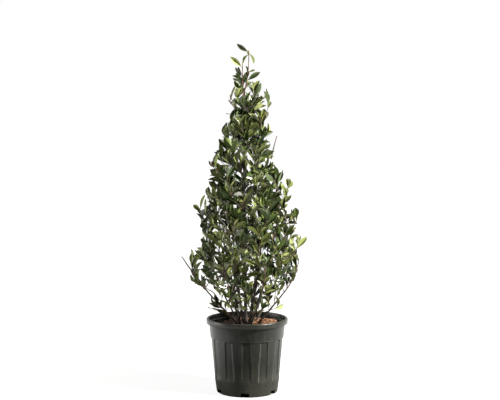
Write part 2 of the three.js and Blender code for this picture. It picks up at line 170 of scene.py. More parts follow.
BENDS = {"leader": 12, "stem": 6, "bough": 5}
TIP_TURN = {"stem_right": 12, "bough_left": -12}

# Masses of foliage: lift and length of those on the leader's, the boughs' and the stems' tips, then
# height, turn, rise and length of those on the stems' sides, and the tiers round the leader: name,
# height, count, turn, rise and length of each
TOP_SPRAY = (0.4, 112)
LOW_SPRAY = (0.1, 100)
MID_SPRAY = (0, 104)
BELLY_SPRAY = (388, 28, 24, 118)
AROUND_LEADER = (
    ("heart", 500, 3, 30, 40, 92),
    ("waist", 622, 5, 20, 26, 112),
    ("upper", 732, 4, 52, 28, 96),
    ("shoulder", 832, 4, 5, 32, 80),
    ("neck", 930, 3, 62, 38, 70),
)
Mass = namedtuple("Mass", "name out length seed line reach")
MASS_NODES = sorted(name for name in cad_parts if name.startswith("foliage_"))
LONGEST_SPRAY = "foliage_low_left"
LONGEST_REACH = 1.17

# How far the masses' feet are set one above the other on the stems' sides and round the leader
BELLY_SPREAD = 9
TIER_SPREAD = 12

# A mass's stem: its steps, how far it strays, how much it bends up at each, and its thickness
SPRAY_STEPS = 4
SPRAY_STRAY = 0.18
SPRAY_LIFT = 0.2
SPRAY_SHOOT = (2.4, 1.1)

# The construction model's twigs, which the finer ones grow on from: their reach and angle, how much
# both drop with each step up, the turns and lengths tried for room, their thickness and sag, and how
# much nearer to its own mass than to any other a twig stays
TWIG_RADIUS = 1.7
TWIG_REACH = 0.62
REACH_DROP = 0.08
TWIG_ANGLE = 54
ANGLE_DROP = 4
TWIG_TURNS = (0, 35, -35, 70, -70, 110, -110, 150)
TWIG_LENGTHS = (1, 0.7)
TWIG_SHOOT = (1.4, 0.8)
TWIG_SAG = 0.05
GOLDEN_ANGLE = 137.5
OWN_MARGIN = 1.4

# Leaves are dealt out by these names, and each kind has its own share of the crown
LEAF_KINDS = ("deep", "forest", "olive", "mid", "light", "fresh", "pale", "young")
LEAF_SHARES = (0.22, 0.2, 0.2, 0.195, 0.11, 0.025, 0.05)
FRESH_TIPS = 0.1
YOUNG_TIPS = 0.035

# The lower a spray hangs the darker its green tends to be, as painted shade low in the crown: a power
# over the draw of its kind, by height
KIND_HEIGHTS = (300, 700)
KIND_POWERS = (1.45, 1)

# The leafy crown's reach to the left and right at a row of heights, seen from the front
SIDE_REACH = (
    (250, 105, 85), (290, 128, 104), (335, 150, 120), (377, 185, 168), (418, 180, 172),
    (480, 184, 166), (522, 186, 184), (563, 155, 181), (604, 172, 182), (646, 168, 145),
    (700, 132, 130), (748, 130, 136), (789, 108, 92), (830, 104, 107), (871, 92, 90),
    (932, 62, 72), (1013, 45, 60), (1094, 30, 40), (1135, 30, 20), (1190, 12, 10),
)
SIDE_HEIGHTS, LEFT_REACH, RIGHT_REACH = (list(column) for column in zip(*SIDE_REACH))

# The lowest height that leaves hang down to: over the middle of the pot, and out at its sides
FOOT_ASIDE = (0, 120)
LEAFY_FOOT = (302, 264)

# How near two leaves' middles may be, how far a leaf may pass the limit, also on a loose shoot, how
# far inside it shoots' tips stay, and how near two of them may be at a row of heights
LEAF_ROOM = 9.5
LEAF_REACH = 8
LOOSE_REACH = 28
TIP_INSET = 17
ROOM_HEIGHTS = (262, 340, 420, 560, 700, 850, 1000)
TIP_ROOMS = (44, 44, 48, 47, 49, 45, 50)

# How much smaller than usual the leaves are low in the crown, and larger high up
SIZE_HEIGHTS = (380, 640)
SIZE_SHARES = (0.88, 1.1)

# What a leaf's upper side turns to: its shoot's tip, the sky, away from the crown's axis and the
# front, where the light came from as it grew, and how far it is twisted off that
TOP_SHARES = (0.4, 0.45, 0.42, 0.3)
TOP_SPREAD = 130

# Leaves along a shoot: their distance, stalk, angle and how much of it they lose at the tip, how far
# angle and turn stray, their least size and the range over it, how much smaller they are at the tip,
# how they lift, the turns tried for room, the shoot's bare share and the leaves crowded at its tip
LEAF_SPACING = 12
PETIOLE = 5
LEAF_ANGLES = (54, 28)
ANGLE_STRAY = 30
TURN_STRAY = 20
LEAF_SIZES = (0.72, 0.42)
TIP_SHRINK = 0.42
LEAF_LIFTS = (0.15, 0.5)
LEAF_TURNS = (0, 45, -45, 90, -90)
BARE_SHARE = 0.3
TIP_LEAVES = 3

# Finer shoots: tries to fill the crown, lowest and highest tips, how strongly they keep to its outside
FILL = (3200, 274, 1058)
TO_OUTSIDE = 0.42

# Their least and most length and least climb, how far a flat one counts as longer than a steep one,
# how they bow out and sag, their room to the limbs, their thickness, the length from which they are
# woody, and the steps between the places on the wood that they may leave
SHOOT_LENGTHS = (28, 125)
LEAST_CLIMB = 0.1
FLATNESS_COST = 1.5
SHOOT_BOW = 0.12
SHOOT_SAG = 0.05
SHOOT_ROOM = 2
FINE_SHOOT = (1.25, 0.65)
WOODY_LENGTH = 70
WOOD_STEP = 9

# The heart of the upper crown, filled once more and painted dark with the deepest greens as shade:
# tries, lowest and highest tips, how far out they reach as a share, how near two of them may be, and the
# kinds of their leaves
HEART = (260, 845, 985, 0.55, 30, ("deep", "forest"))

# The leader's slender end and the shoot beside it: the height where each leaves the leader, its
# points and its thickness at the foot and the tip, then its leaves, each with its height,
# azimuth, rise, roll, length and kind
TOP_SHOOTS = (
    (1029, ((0, 0, 1070), (5, -1, 1115), (6, -2, 1162)), 2.6, 1.2),
    (968, ((-14, -8, 1030), (-16, -10, 1085), (-15, -10, 1127)), 2.8, 1.4),
)
TOP_LEAVES = (
    (
        (1160, 190, 34, -85, 45, "deep"), (1160, 8, -62, 20, 36, "light"),
        (1156, 184, -54, 70, 32, "forest"), (1144, 100, 50, 0, 26, "olive"),
        (1092, -8, 20, 60, 22, "light"), (1088, -110, 55, 0, 30, "forest"),
        (1064, 4, 34, 55, 50, "deep"), (1058, 120, 30, 0, 36, "mid"),
        (1052, -100, 50, 0, 40, "forest"), (1044, 60, 25, 0, 38, "olive"),
        (1034, -50, 35, 20, 38, "mid"),
    ),
    (
        (1108, 186, 42, -48, 50, "fresh"), (1082, 150, 60, -40, 30, "olive"),
        (1076, 184, 55, -60, 36, "deep"), (1066, 200, 22, -50, 34, "forest"),
        (1050, 205, 30, -50, 38, "deep"), (1044, 120, 30, 0, 34, "mid"),
        (1028, 178, 48, -55, 42, "mid"), (1018, -110, 50, 0, 36, "forest"),
    ),
)

# Shoots that stand out of the crown: their points, thickness at the foot and tip, the kind of
# their leaves or none, the share of them that is bare, and the leaves at their tips
LOOSE_SHOOTS = (
    (((-140, -27, 356), (-174, -34, 402), (-198, -38, 434), (-219, -42, 466)), 3.3, 1.7, None, 1, 0),
    (((-120, -50, 352), (-150, -70, 372), (-172, -78, 382)), 1.6, 0.8, "mid", 0.3, 3),
    (((-36, -8, 962), (-46, -16, 990), (-58, -20, 1013)), 2, 1.2, None, 1, 0),
    (((82, -20, 800), (90, -30, 838), (99, -34, 872)), 2.2, 1.3, None, 1, 0),
    (((110, -20, 620), (128, -28, 664), (138, -30, 700)), 2, 0.9, "light", 0.25, 3),
    (((150, -60, 470), (164, -66, 494), (170, -66, 512)), 1.8, 0.9, "fresh", 0.3, 2),
    (((150, -60, 560), (164, -66, 590), (170, -66, 610)), 1.8, 0.9, "mid", 0.3, 2),
    (((44, -24, 925), (62, -30, 950), (71, -34, 976), (71, -34, 1000)), 1.5, 0.8, "mid", 0.55, 1),
    (((8, -10, 1000), (26, -20, 1022), (34, -22, 1004)), 1.3, 0.7, "olive", 0.4, 1),
    (((-120, -70, 600), (-148, -78, 618), (-160, -80, 632)), 1.6, 0.8, "light", 0.3, 2),
    (((-60, -60, 740), (-92, -70, 752), (-108, -70, 768)), 1.6, 0.8, "olive", 0.3, 2),
    (((-60, -60, 270), (-92, -72, 292), (-128, -76, 300)), 2, 1.2, None, 1, 0),
    (((-50, -50, 262), (-70, -60, 284), (-96, -70, 306)), 1.6, 0.8, "deep", 0.3, 2),
    (((60, -50, 280), (80, -60, 290), (104, -66, 300)), 1.4, 0.8, "pale", 0.6, 1),
    (((-27, -34, 237), (-42, -38, 255), (-60, -42, 278)), 2.2, 1.1, None, 1, 0),
    (((92, -20, 300), (98, -30, 370), (99, -34, 430)), 1.8, 0.9, "mid", 0.6, 2),
)

# One leaf: rows of faces along it, its thickness as a share of its length, its least width and the
# range over it, then for each form how much it is folded, how far its tip droops and its edge waves
LEAF_ROWS = 7
LEAF_THICKNESS = 0.012
LEAF_WIDTHS = (0.88, 0.28)
LEAF_FORMS = (
    (0.22, 0.04, 0.015), (0.34, 0.14, 0.02), (0.44, 0.22, 0.01), (0.16, -0.1, 0.03), (0.52, 0.08, 0.02),
)

# A leaf's stalk: its radii, and how far it runs under the leaf; a bud's least length and the range
# over it, and how deep it sits on its twig
STALK_RADII = (0.75, 0.55, 0.5)
STALK_UNDER = 1.5
BUD_LENGTHS = (4.5, 3.5)
BUD_SUNK = 0.6

# A limb's ring: its sides, the step from one to the next, and how deep the lowest sits in the soil
LIMB_SIDES = 12
LIMB_STEP = 7
LIMB_SUNK = 5

# Bark: how fast the root flare fades, how far apart old buds swell it, how much and how broadly
FLARE_FADE = 9
KNOT_STEP = 31
KNOT_RISE = 0.45
KNOT_SPREAD = 14

# Bark chips: least length, width and thickness with the range over each, the lit side as an azimuth,
# towards which chips are painted lit orange and away from which painted dark as shade, how high they
# are heaped there, and the dark and light tone of each kind
CHIP_LENGTHS = (5, 12)
CHIP_WIDTHS = (0.35, 0.35)
CHIP_HEIGHTS = (1.4, 2.4)
LIT_SIDE = 38
CHIP_HEAP = 7
CHIP_KINDS = {
    "orange": ((0.11, 0.052, 0.028), (0.29, 0.155, 0.085)),
    "brown": ((0.06, 0.028, 0.015), (0.2, 0.095, 0.048)),
    "dark": ((0.02, 0.012, 0.008), (0.075, 0.042, 0.026)),
}

# The runs of random numbers for the growth, the buds and the chips
GROWTH_SEED = 90210
BUD_SEED = 77
CHIP_SEED = 4242

# Studio lamps: place, aim and size in metres
LAMP_COLOUR = (1, 0.965, 0.9)
KEY_LAMP = ((2.95, -1.35, 2.65), (0, 0, 0.6), 0.35)
FILL_LAMP = ((-2.6, 0.1, 0.9), (0, 0, 0.5), 1.6)

# Where the backdrop's light begins and is full, as the Y of the direction that it comes from
BACKDROP_SPAN = (-0.1, 0.35)

# How bright the floor is made for the camera alone, near the pot and beyond, so that only a faint
# shadow shows on it, and the distances in metres between which that changes
FLOOR_GLOW = (0.86, 1.02)
GLOW_SPAN = (0.6, 1.8)

# Painted light: a glow that the floor gives off towards either side for all rays but the camera's,
# though it is no lamp, in place of what it throws back, and the distances in metres to either side of
# the middle between which it fades in
SIDE_GLOW = (0, 2)
SIDE_SPAN = (0.2, 0.6)


# The growth rule


def seeded(seed):
    """A repeatable run of random numbers from 0 to 1."""
    state = seed & 0xFFFFFFFF

    def draw():
        nonlocal state
        state = (state + 0x6D2B79F5) & 0xFFFFFFFF
        t = ((state ^ (state >> 15)) * (1 | state)) & 0xFFFFFFFF
        t = ((t + (((t ^ (t >> 7)) * (61 | t)) & 0xFFFFFFFF)) ^ t) & 0xFFFFFFFF
        return (t ^ (t >> 14)) / 4294967296

    return draw


def ranged(limits, share):
    """A share of the way through a range, given as its least value and its width."""
    return limits[0] + limits[1] * share


def unit(vector):
    return vector / np.linalg.norm(vector)


def heading(azimuth, rise=0.0):
    """The unit vector at an azimuth round Z, counted from +X towards +Y, and a rise above level."""
    a = math.radians(azimuth)
    r = math.radians(rise)
    return np.array((math.cos(a) * math.cos(r), math.sin(a) * math.cos(r), math.sin(r)))


def at_height(vector, height):
    return np.array((vector[0], vector[1], height))


def off_line(along, steep=0.9):
    """A main direction that lies well off another one."""
    return ASIDE if abs(along[2]) > steep else UP


def crown_radius(height):
    """How far the crown reaches from its axis at a height."""
    if height >= BELLY_HEIGHT:
        share = (height - BELLY_HEIGHT) / (CROWN_TOP - BELLY_HEIGHT)
        return BELLY_RADIUS + (CROWN_TIP_RADIUS - BELLY_RADIUS) * share
    share = (BELLY_HEIGHT - height) / BOWL_HEIGHT
    return BELLY_RADIUS * max(0.0, 1 - share**BOWL_SQUARENESS) ** (1 / BOWL_SQUARENESS)


def bends_of(limb):
    return BENDS[limb.name.split("_")[0]]


def stem_line(limb):
    """The middle line of a stem: a bow from foot to tip, with small kinks where it has budded."""
    side = heading(limb.azimuth)
    foot = at_height(side * limb.foot, SOIL_TOP + GAP)
    tip_side = heading(limb.azimuth + TIP_TURN.get(limb.name, 0))
    tip = at_height(tip_side * limb.tip, limb.height)
    middle = (foot + tip) / 2 + side * limb.swing
    line = []
    for i in range(bends_of(limb) + 1):
        t = i / bends_of(limb)
        point = (1 - t) ** 2 * foot + 2 * (1 - t) * t * middle + t**2 * tip
        kink = 0 if i == 0 else STEM_KINK * math.sin(i * 2.4 + limb.azimuth)
        line.append(point + heading(limb.azimuth + 90) * kink)
    return line


def stem_radii(limb):
    """Thickness along a stem: a root flare at the soil, then an even taper to its tip."""
    end = max(TIP_RADIUS, limb.thick * TIP_TAPER)
    bends = bends_of(limb)
    radii = [limb.thick + (end - limb.thick) * i / bends for i in range(bends + 1)]
    radii[0] *= ROOT_FLARE
    return radii


def stem_at(limb, height):
    """A point on a stem's middle line at a height, the stem's radius there and its direction."""
    line = stem_line(limb)
    radii = stem_radii(limb)
    i = max(1, next(k for k, point in enumerate(line) if point[2] >= height))
    share = (height - line[i - 1][2]) / (line[i][2] - line[i - 1][2])
    point = line[i - 1] + (line[i] - line[i - 1]) * share
    radius = radii[i - 1] + (radii[i] - radii[i - 1]) * share
    return point, radius, unit(line[i] - line[i - 1])


def new_mass(name, start, out, length, seed):
    """A mass of foliage: its stem bends up towards the light a little at each step."""
    random = seeded(seed)
    line = [start]
    along = out.copy()
    for _ in range(SPRAY_STEPS):
        line.append(line[-1] + along * length / SPRAY_STEPS)
        along[0] += (random() - 0.5) * SPRAY_STRAY
        along[1] += (random() - 0.5) * SPRAY_STRAY
        along = unit(along + UP * SPRAY_LIFT)
    reach = LONGEST_REACH if name == LONGEST_SPRAY else 0.98 + 0.09 * seeded(seed + 90)()
    return Mass(name, out, length, seed, line, reach)


def end_mass(name, limb, lift, length, seed):
    """A mass of foliage that grows on from a stem's tip."""
    line = stem_line(limb)
    onward = unit(line[-1] - line[-2])
    return new_mass(name, line[-1] + onward * GAP, unit(onward + UP * lift), length, seed)


def side_mass(name, limb, height, azimuth, rise, length, seed):
    """A mass of foliage that leaves a stem at its side."""
    point, radius, along = stem_at(limb, height)
    square = heading(azimuth)
    square = unit(square - along * square.dot(along))
    return new_mass(name, point + square * (radius + GAP), heading(azimuth, rise), length, seed)


def planned_masses():
    """Every mass of foliage, in the construction model's order."""
    masses = [end_mass("foliage_top", LEADER, *TOP_SPRAY, 101)]
    height, turn, *grown = BELLY_SPRAY
    for i, limb in enumerate(STEMS[1:], 1):
        kind, where = limb.name.split("_", 1)
        if kind == "bough":
            masses.append(end_mass(f"foliage_low_{where}", limb, *LOW_SPRAY, 200 + i))
            continue
        masses.append(end_mass(f"foliage_mid_{where}", limb, *MID_SPRAY, 300 + i))
        side = (height + BELLY_SPREAD * (i % 3), limb.azimuth + turn)
        masses.append(side_mass(f"foliage_belly_{where}", limb, *side, *grown, 400 + i))
    for t, (tier, height, count, turn, *grown) in enumerate(AROUND_LEADER):
        for k in range(count):
            side = (height + TIER_SPREAD * ((k * 2) % count) - 10, turn + 360 * k / count)
            masses.append(side_mass(f"foliage_{tier}_{k + 1}", LEADER, *side, *grown, 500 + 10 * t + k))
    return masses


def segments_of(lines):
    pairs = [pair for line in lines for pair in zip(line, line[1:])]
    return np.array([start for start, _ in pairs]), np.array([end for _, end in pairs])


def distances(point, starts, ends):
    """How far a point lies from each of many straight segments."""
    spans = ends - starts
    share = ((point - starts) * spans).sum(axis=1) / (spans * spans).sum(axis=1)
    nearest = starts + spans * np.clip(share, 0, 1)[:, None]
    return np.linalg.norm(point - nearest, axis=1)


class Crown:
    """The room that the crown has, shared out among its masses."""

    def __init__(self):
        self.masses = planned_masses()
        self.starts, self.ends = segments_of([mass.line for mass in self.masses])
        self.limb_starts, self.limb_ends = segments_of([stem_line(limb) for limb in STEMS])
        self.limb_radii = np.concatenate([stem_radii(limb)[:-1] for limb in STEMS])

    def owner_holds(self, index, point):
        """True inside the crown, and nearer to one mass's stem than to any other's."""
        outer = crown_radius(point[2]) * self.masses[index].reach
        if not CROWN_FOOT <= point[2] <= CROWN_TOP or math.hypot(point[0], point[1]) > outer:
            return False
        far = distances(point, self.starts, self.ends).reshape(-1, SPRAY_STEPS).min(axis=1)
        own = far[index] + OWN_MARGIN
        far[index] = np.inf
        return bool((far > own).all())

    def off_limbs(self, point, room):
        far = distances(point, self.limb_starts, self.limb_ends) - self.limb_radii
        return bool(far.min() > room)


def turned(vector, axis, angle):
    """A vector turned round an axis by an angle in degrees."""
    a = math.radians(angle)
    along = axis * axis.dot(vector) * (1 - math.cos(a))
    return vector * math.cos(a) + np.cross(axis, vector) * math.sin(a) + along


def branch_off(along, turn, angle):
    """The direction that leaves another at an angle, on the side given by a turn round it."""
    spoke = turned(unit(np.cross(along, off_line(along, 0.95))), along, turn)
    lean = math.radians(angle)
    return along * math.cos(lean) + spoke * math.sin(lean)


def twig_direction(crown, index, node, along, turn, angle, reach):
    """Where a twig may grow: it turns round its stem or stays shorter, or doesn't grow at all."""
    room = TWIG_RADIUS + 2 * CLEAR
    for share in TWIG_LENGTHS:
        for shift in TWIG_TURNS:
            out = branch_off(along, turn + shift, angle) * reach * share
            stops = [node + out * part for part in (0.4, 0.7, 1)]
            if all(crown.owner_holds(index, stop) and crown.off_limbs(stop, room) for stop in stops):
                return out
    return None


def main_twigs(crown, index):
    """The twigs of a mass as the construction model has them: the node and tip of each."""
    mass = crown.masses[index]
    random = seeded(mass.seed + 7000)
    first_turn = 360 * random()
    for i, node in enumerate(mass.line):
        start = min(i, SPRAY_STEPS - 1)
        along = unit(mass.line[start + 1] - mass.line[start])
        reach = mass.length * (TWIG_REACH - REACH_DROP * i) * (0.85 + 0.3 * random())
        random()  # the construction model draws the turn of the twig's leaves here
        if 0 < i < SPRAY_STEPS:
            turn = first_turn + GOLDEN_ANGLE * i
            out = twig_direction(crown, index, node, along, turn, TWIG_ANGLE - ANGLE_DROP * i, reach)
            if out is not None:
                yield node, node + out


# The finer growth of the leafy crown


def crown_limit(point):
    """How far the leafy crown reaches on the side of its axis where a point lies."""
    side = np.interp(point[2], SIDE_HEIGHTS, RIGHT_REACH if point[0] > 0 else LEFT_REACH)
    sideways = point[0] ** 2 / max(1.0, point[0] ** 2 + point[1] ** 2)
    return crown_radius(point[2]) * (1 - sideways) + side * sideways


def in_crown(point, beyond):
    """True inside the leafy crown, grown by a length."""
    if not np.interp(abs(point[0]), FOOT_ASIDE, LEAFY_FOOT) <= point[2] <= CROWN_TOP - 2:
        return False
    return math.hypot(point[0], point[1]) <= crown_limit(point) + beyond


class Room:
    """Points that keep a distance from each other, sorted by the cell that each lies in."""

    def __init__(self, distance):
        self.distance = distance
        self.cells = {}

    def cell(self, point):
        return tuple(int(v // self.distance) for v in point)

    def taken(self, point, distance=None):
        """True where a kept point is nearer than a distance, which is the room's own at most."""
        distance = distance or self.distance
        x, y, z = self.cell(point)
        near = (-1, 0, 1)
        for place in ((x + dx, y + dy, z + dz) for dx in near for dy in near for dz in near):
            for other in self.cells.get(place, ()):
                if np.linalg.norm(other - point) < distance:
                    return True
        return False

    def take(self, point):
        self.cells.setdefault(self.cell(point), []).append(point)


def smooth_line(points, steps):
    """A smooth line through the points, with a number of steps between each two."""
    points = [np.array(point, float) for point in points]
    ends = [2 * points[0] - points[1], *points, 2 * points[-1] - points[-2]]
    line = []
    for i in range(1, len(ends) - 2):
        before, here, there, after = ends[i - 1 : i + 3]
        for k in range(steps):
            t = k / steps
            pull = (there - before) * t + (2 * before - 5 * here + 4 * there - after) * t**2
            line.append(here + 0.5 * (pull + (3 * here - before - 3 * there + after) * t**3))
    line.append(points[-1])
    return line


def at_level(line, height):
    """The point of a climbing line at a height."""
    heights = [point[2] for point in line]
    return np.array([np.interp(height, heights, [point[i] for point in line]) for i in range(3)])


def length_of(line):
    return sum(np.linalg.norm(b - a) for a, b in zip(line, line[1:]))


def point_along(line, share):
    """The point at a share of a line's length, and the line's direction there."""
    left = share * length_of(line)
    for a, b in zip(line, line[1:]):
        step = np.linalg.norm(b - a)
        if left <= step:
            return a + (b - a) * left / step, unit(b - a)
        left -= step
    return line[-1], unit(line[-1] - line[-2])


Leaf = namedtuple("Leaf", "node root out top size kind chance")


class Growth:
    """All shoots, buds and leaves of the crown."""

    def __init__(self, leaf_length):
        self.leaf_length = leaf_length
        self.random = seeded(GROWTH_SEED)
        self.shoots, self.leaves, self.tips, self.wood = [], [], [], []
        self.middles = Room(LEAF_ROOM)
        self.ends = Room(max(TIP_ROOMS))

    def kind(self, height):
        """The green that a spray's leaves take."""
        # Sprays low in the crown draw darker greens, as painted shade.
        draw = self.random() ** np.interp(height, KIND_HEIGHTS, KIND_POWERS)
        shares = np.cumsum(LEAF_SHARES)
        return next((kind for kind, share in zip(LEAF_KINDS, shares) if draw <= share), "mid")

    def shoot(self, line, thick, thin, woody, facing=None):
        """Adds a shoot with its bud, and where finer shoots may leave it."""
        self.shoots.append((line, thick, thin, woody))
        self.tips.append((line[-1], unit(line[-1] - line[-2]) if facing is None else facing))
        self.carry(line, 0.15, 0.8)
        self.ends.take(line[-1])

    def carry(self, line, first, last):
        count = max(2, round(length_of(line) * (last - first) / WOOD_STEP))
        for k in range(count):
            self.wood.append(point_along(line, first + (last - first) * k / (count - 1))[0])

    def dress(self, line, kind, bare=BARE_SHARE, at_tip=TIP_LEAVES, reach=LEAF_REACH):
        """Leaves up a shoot by the golden angle, with smaller ones closer together at its end."""
        count = max(1, round(length_of(line) * (1 - bare) / LEAF_SPACING))
        turn = 360 * self.random()
        draw = self.random()
        tip_kind = "fresh" if draw < FRESH_TIPS else "young" if draw < FRESH_TIPS + YOUNG_TIPS else kind
        for k in range(count + at_tip):
            near_tip = max(0.0, (k - count + 1) / max(1, at_tip))
            share = min(1.0, bare + (1 - bare) * (k + 0.4 + 0.4 * self.random()) / count)
            node, along = point_along(line, share)
            angle = LEAF_ANGLES[0] - LEAF_ANGLES[1] * near_tip + ANGLE_STRAY * (self.random() - 0.5)
            size = self.leaf_length * np.interp(node[2], SIZE_HEIGHTS, SIZE_SHARES)
            size *= ranged(LEAF_SIZES, self.random()) * (1 - TIP_SHRINK * near_tip)
            turn += GOLDEN_ANGLE + TURN_STRAY * (self.random() - 0.5)
            lift = ranged(LEAF_LIFTS, self.random())
            chance = self.random()
            for shift in LEAF_TURNS:
                out = unit(branch_off(along, turn + shift, max(10, angle)) + UP * lift)
                if self.fits(node, out, size, reach):
                    self.leaf(node, along, out, size, tip_kind if near_tip else kind, chance)
                    break

    def fits(self, node, out, size, reach):
        """True for a leaf that would neither leave the crown nor crowd another."""
        root = node + out * PETIOLE
        tip = root + out * size
        return in_crown(tip, reach) and not self.middles.taken((root + tip) / 2)

    def leaf(self, node, along, out, size, kind, chance, roll=0.0):
        """Adds one leaf, its upper side turned to its shoot's tip, the sky and away from the crown."""
        root = node + out * PETIOLE
        self.middles.take(root + out * size / 2)
        away = at_height(node, 0) / max(30.0, math.hypot(node[0], node[1]))
        top = sum(way * share for way, share in zip((along, UP, away, FRONT), TOP_SHARES))
        top = unit(top - out * top.dot(out))
        top = turned(top, out, roll + TOP_SPREAD * (chance - 0.5))
        self.leaves.append(Leaf(node, root, out, top, size, kind, chance))

    def grow_top(self):
        """The leader's slender end and the shoot beside it, with leaves where the photo shows them."""
        leader = stem_line(LEADER)
        for (foot, points, thick, thin), leaves in zip(TOP_SHOOTS, TOP_LEAVES):
            line = smooth_line([at_level(leader, foot), *points], 4)
            self.shoot(line, thick, thin, False, UP)
            for height, azimuth, rise, roll, size, kind in leaves:
                self.leaf(at_level(line, height), UP, heading(azimuth, rise), size, kind, 0.5, roll)

    def grow_loose(self):
        """Shoots that stand out of the crown's outline, some of them bare."""
        for points, thick, thin, kind, bare, at_tip in LOOSE_SHOOTS:
            line = smooth_line(points, 4)
            self.shoot(line, thick, thin, kind is None)
            if kind:
                self.dress(line, kind, bare, at_tip, LOOSE_REACH)

    def fill(self, crown, count, foot, top, reach=1.0, room=None, kinds=()):
        """Finer shoots that grow from the nearest wood into the room left in the crown."""
        turn = 0.0
        for i in range(count):
            turn += GOLDEN_ANGLE
            height = foot + (top - foot) * self.random()
            out_share = reach * self.random() ** TO_OUTSIDE
            aim = at_height(heading(turn), height)
            aim = at_height(aim * (crown_limit(aim) - TIP_INSET) * out_share, height)
            if self.ends.taken(aim, room or np.interp(height, ROOM_HEIGHTS, TIP_ROOMS)):
                continue
            wood = np.array(self.wood)
            way = aim - wood
            far = np.linalg.norm(way, axis=1)
            climb = way[:, 2] / np.maximum(far, 1)
            shut = (far < SHOOT_LENGTHS[0]) | (climb < LEAST_CLIMB)
            best = int(np.where(shut, np.inf, far * (FLATNESS_COST - climb)).argmin())
            if shut[best] or far[best] > SHOOT_LENGTHS[1]:
                continue
            node = wood[best]
            bow = (node + aim) / 2 + at_height(way[best], 0) * SHOOT_BOW - UP * far[best] * SHOOT_SAG
            if crown.off_limbs(bow, SHOOT_ROOM):
                line = smooth_line([node, bow, aim], 3)
                self.shoot(line, *FINE_SHOOT, far[best] > WOODY_LENGTH)
                self.dress(line, kinds[i % len(kinds)] if kinds else self.kind(height))


@functools.lru_cache(maxsize=1)
def grown_crown():
    """The whole crown's shoots and leaves, grown once for all the pieces that are made of them."""
    crown = Crown()
    growth = Growth(bpy.context.scene.photinia_leaves.leaf_length / MM)
    for limb in STEMS:
        growth.carry(smooth_line(stem_line(limb), 2), 0.14, 1.0)
    growth.grow_top()
    growth.grow_loose()
    for index, mass in enumerate(crown.masses):
        if mass.name == "foliage_top":
            continue
        line = smooth_line(mass.line, 3)
        growth.shoot([line[0] - mass.out * 2.5, *line], *SPRAY_SHOOT, True)
        carriers = [line]
        for node, tip in main_twigs(crown, index):
            bow = (node + tip) / 2 - UP * TWIG_SAG * np.linalg.norm(tip - node)
            carriers.append(smooth_line([node, bow, tip], 3))
            growth.shoot(carriers[-1], *TWIG_SHOOT, True)
        for carrier in carriers:
            growth.dress(carrier, growth.kind(carrier[-1][2]))
    growth.fill(crown, *FILL)
    # The heart's leaves take the darkest greens, as painted shade.
    growth.fill(crown, *HEART)
    return growth


# Modelling helpers


def nothing_selected():
    if bpy.context.object and bpy.context.object.mode != "OBJECT":
        bpy.ops.object.mode_set(mode="OBJECT")
    bpy.ops.object.select_all(action="DESELECT")


def only(piece):
    """Selects one object alone, as the active one."""
    nothing_selected()
    bpy.context.view_layer.objects.active = piece
    piece.select_set(True)


def start_shaping():
    """Puts a new primitive's place in its mesh, and opens it in edit mode with all of it selected."""
    piece = bpy.context.object
    bpy.ops.object.transform_apply(location=True, rotation=True, scale=True)
    bpy.ops.object.mode_set(mode="EDIT")
    bpy.ops.mesh.select_all(action="SELECT")
    return piece


def close_shape():
    """Turns every face of a closed shape outwards, and leaves edit mode."""
    bpy.ops.mesh.select_all(action="SELECT")
    bpy.ops.mesh.normals_make_consistent(inside=False)
    bpy.ops.object.mode_set(mode="OBJECT")


def pick(test):
    """In edit mode, selects the vertices that pass the test, and nothing else."""
    shape = bmesh.from_edit_mesh(bpy.context.object.data)
    shape.select_mode = {"VERT"}
    for vertex in shape.verts:
        vertex.select_set(bool(test(vertex)))
    shape.select_flush_mode()
    bmesh.update_edit_mesh(bpy.context.object.data)


def squeeze(test, value, centre):
    """Resizes the vertices that pass the test about a centre."""
    pick(test)
    bpy.ops.transform.resize(value=value, center_override=centre)


def draw_out(offset, value, centre):
    """Extrudes what is selected by an offset, and resizes it about a centre."""
    bpy.ops.mesh.extrude_region_move(TRANSFORM_OT_translate={"value": offset})
    bpy.ops.transform.resize(value=value, center_override=centre)


def lathe(rows, sides):
    """In edit mode, a round shape drawn out along rows of radius and height, and capped at both ends."""
    radius, height = rows[0]
    nothing_selected()
    bpy.ops.mesh.primitive_circle_add(
        vertices=sides, radius=radius * MM, fill_type="NOTHING", location=(0, 0, height * MM)
    )
    piece = start_shaping()
    for (radius, height), (next_radius, next_height) in zip(rows, rows[1:]):
        grow = next_radius / radius
        rise = (next_height - height) * MM
        draw_out((0, 0, rise), (grow, grow, 1), (0, 0, next_height * MM))
    bpy.ops.mesh.edge_face_add()
    radius, height = rows[0]
    pick(lambda v: abs(v.co.z - height * MM) < TINY and math.hypot(v.co.x, v.co.y) < (radius + 1) * MM)
    bpy.ops.mesh.edge_face_add()
    return piece


def apply_all(piece):
    """Applies a piece's modifiers in their order."""
    only(piece)
    for modifier in list(piece.modifiers):
        bpy.ops.object.modifier_apply(modifier=modifier.name)


def clouds(name, grain, depth):
    texture = bpy.data.textures.new(name, type="CLOUDS")
    texture.noise_scale = grain
    texture.noise_depth = depth
    return texture


def roughen(piece, texture, **settings):
    """Displaces a piece by a cloudy texture, and applies all its modifiers."""
    relief = piece.modifiers.new("relief", "DISPLACE")
    relief.texture = texture
    relief.texture_coords = "LOCAL"
    for name, value in settings.items():
        setattr(relief, name, value)
    apply_all(piece)


def finish_piece(piece, name, material, nodes, smooth):
    """Names a piece, gives it its finish, and puts its place in its mesh."""
    only(piece)
    bpy.ops.object.transform_apply(location=True, rotation=True, scale=True)
    bpy.ops.object.shade_smooth_by_angle(angle=math.radians(smooth))
    piece.name = name
    piece.data.name = name
    piece.data.materials.clear()
    piece.data.materials.append(material)
    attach(piece, "root")
    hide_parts(*nodes)


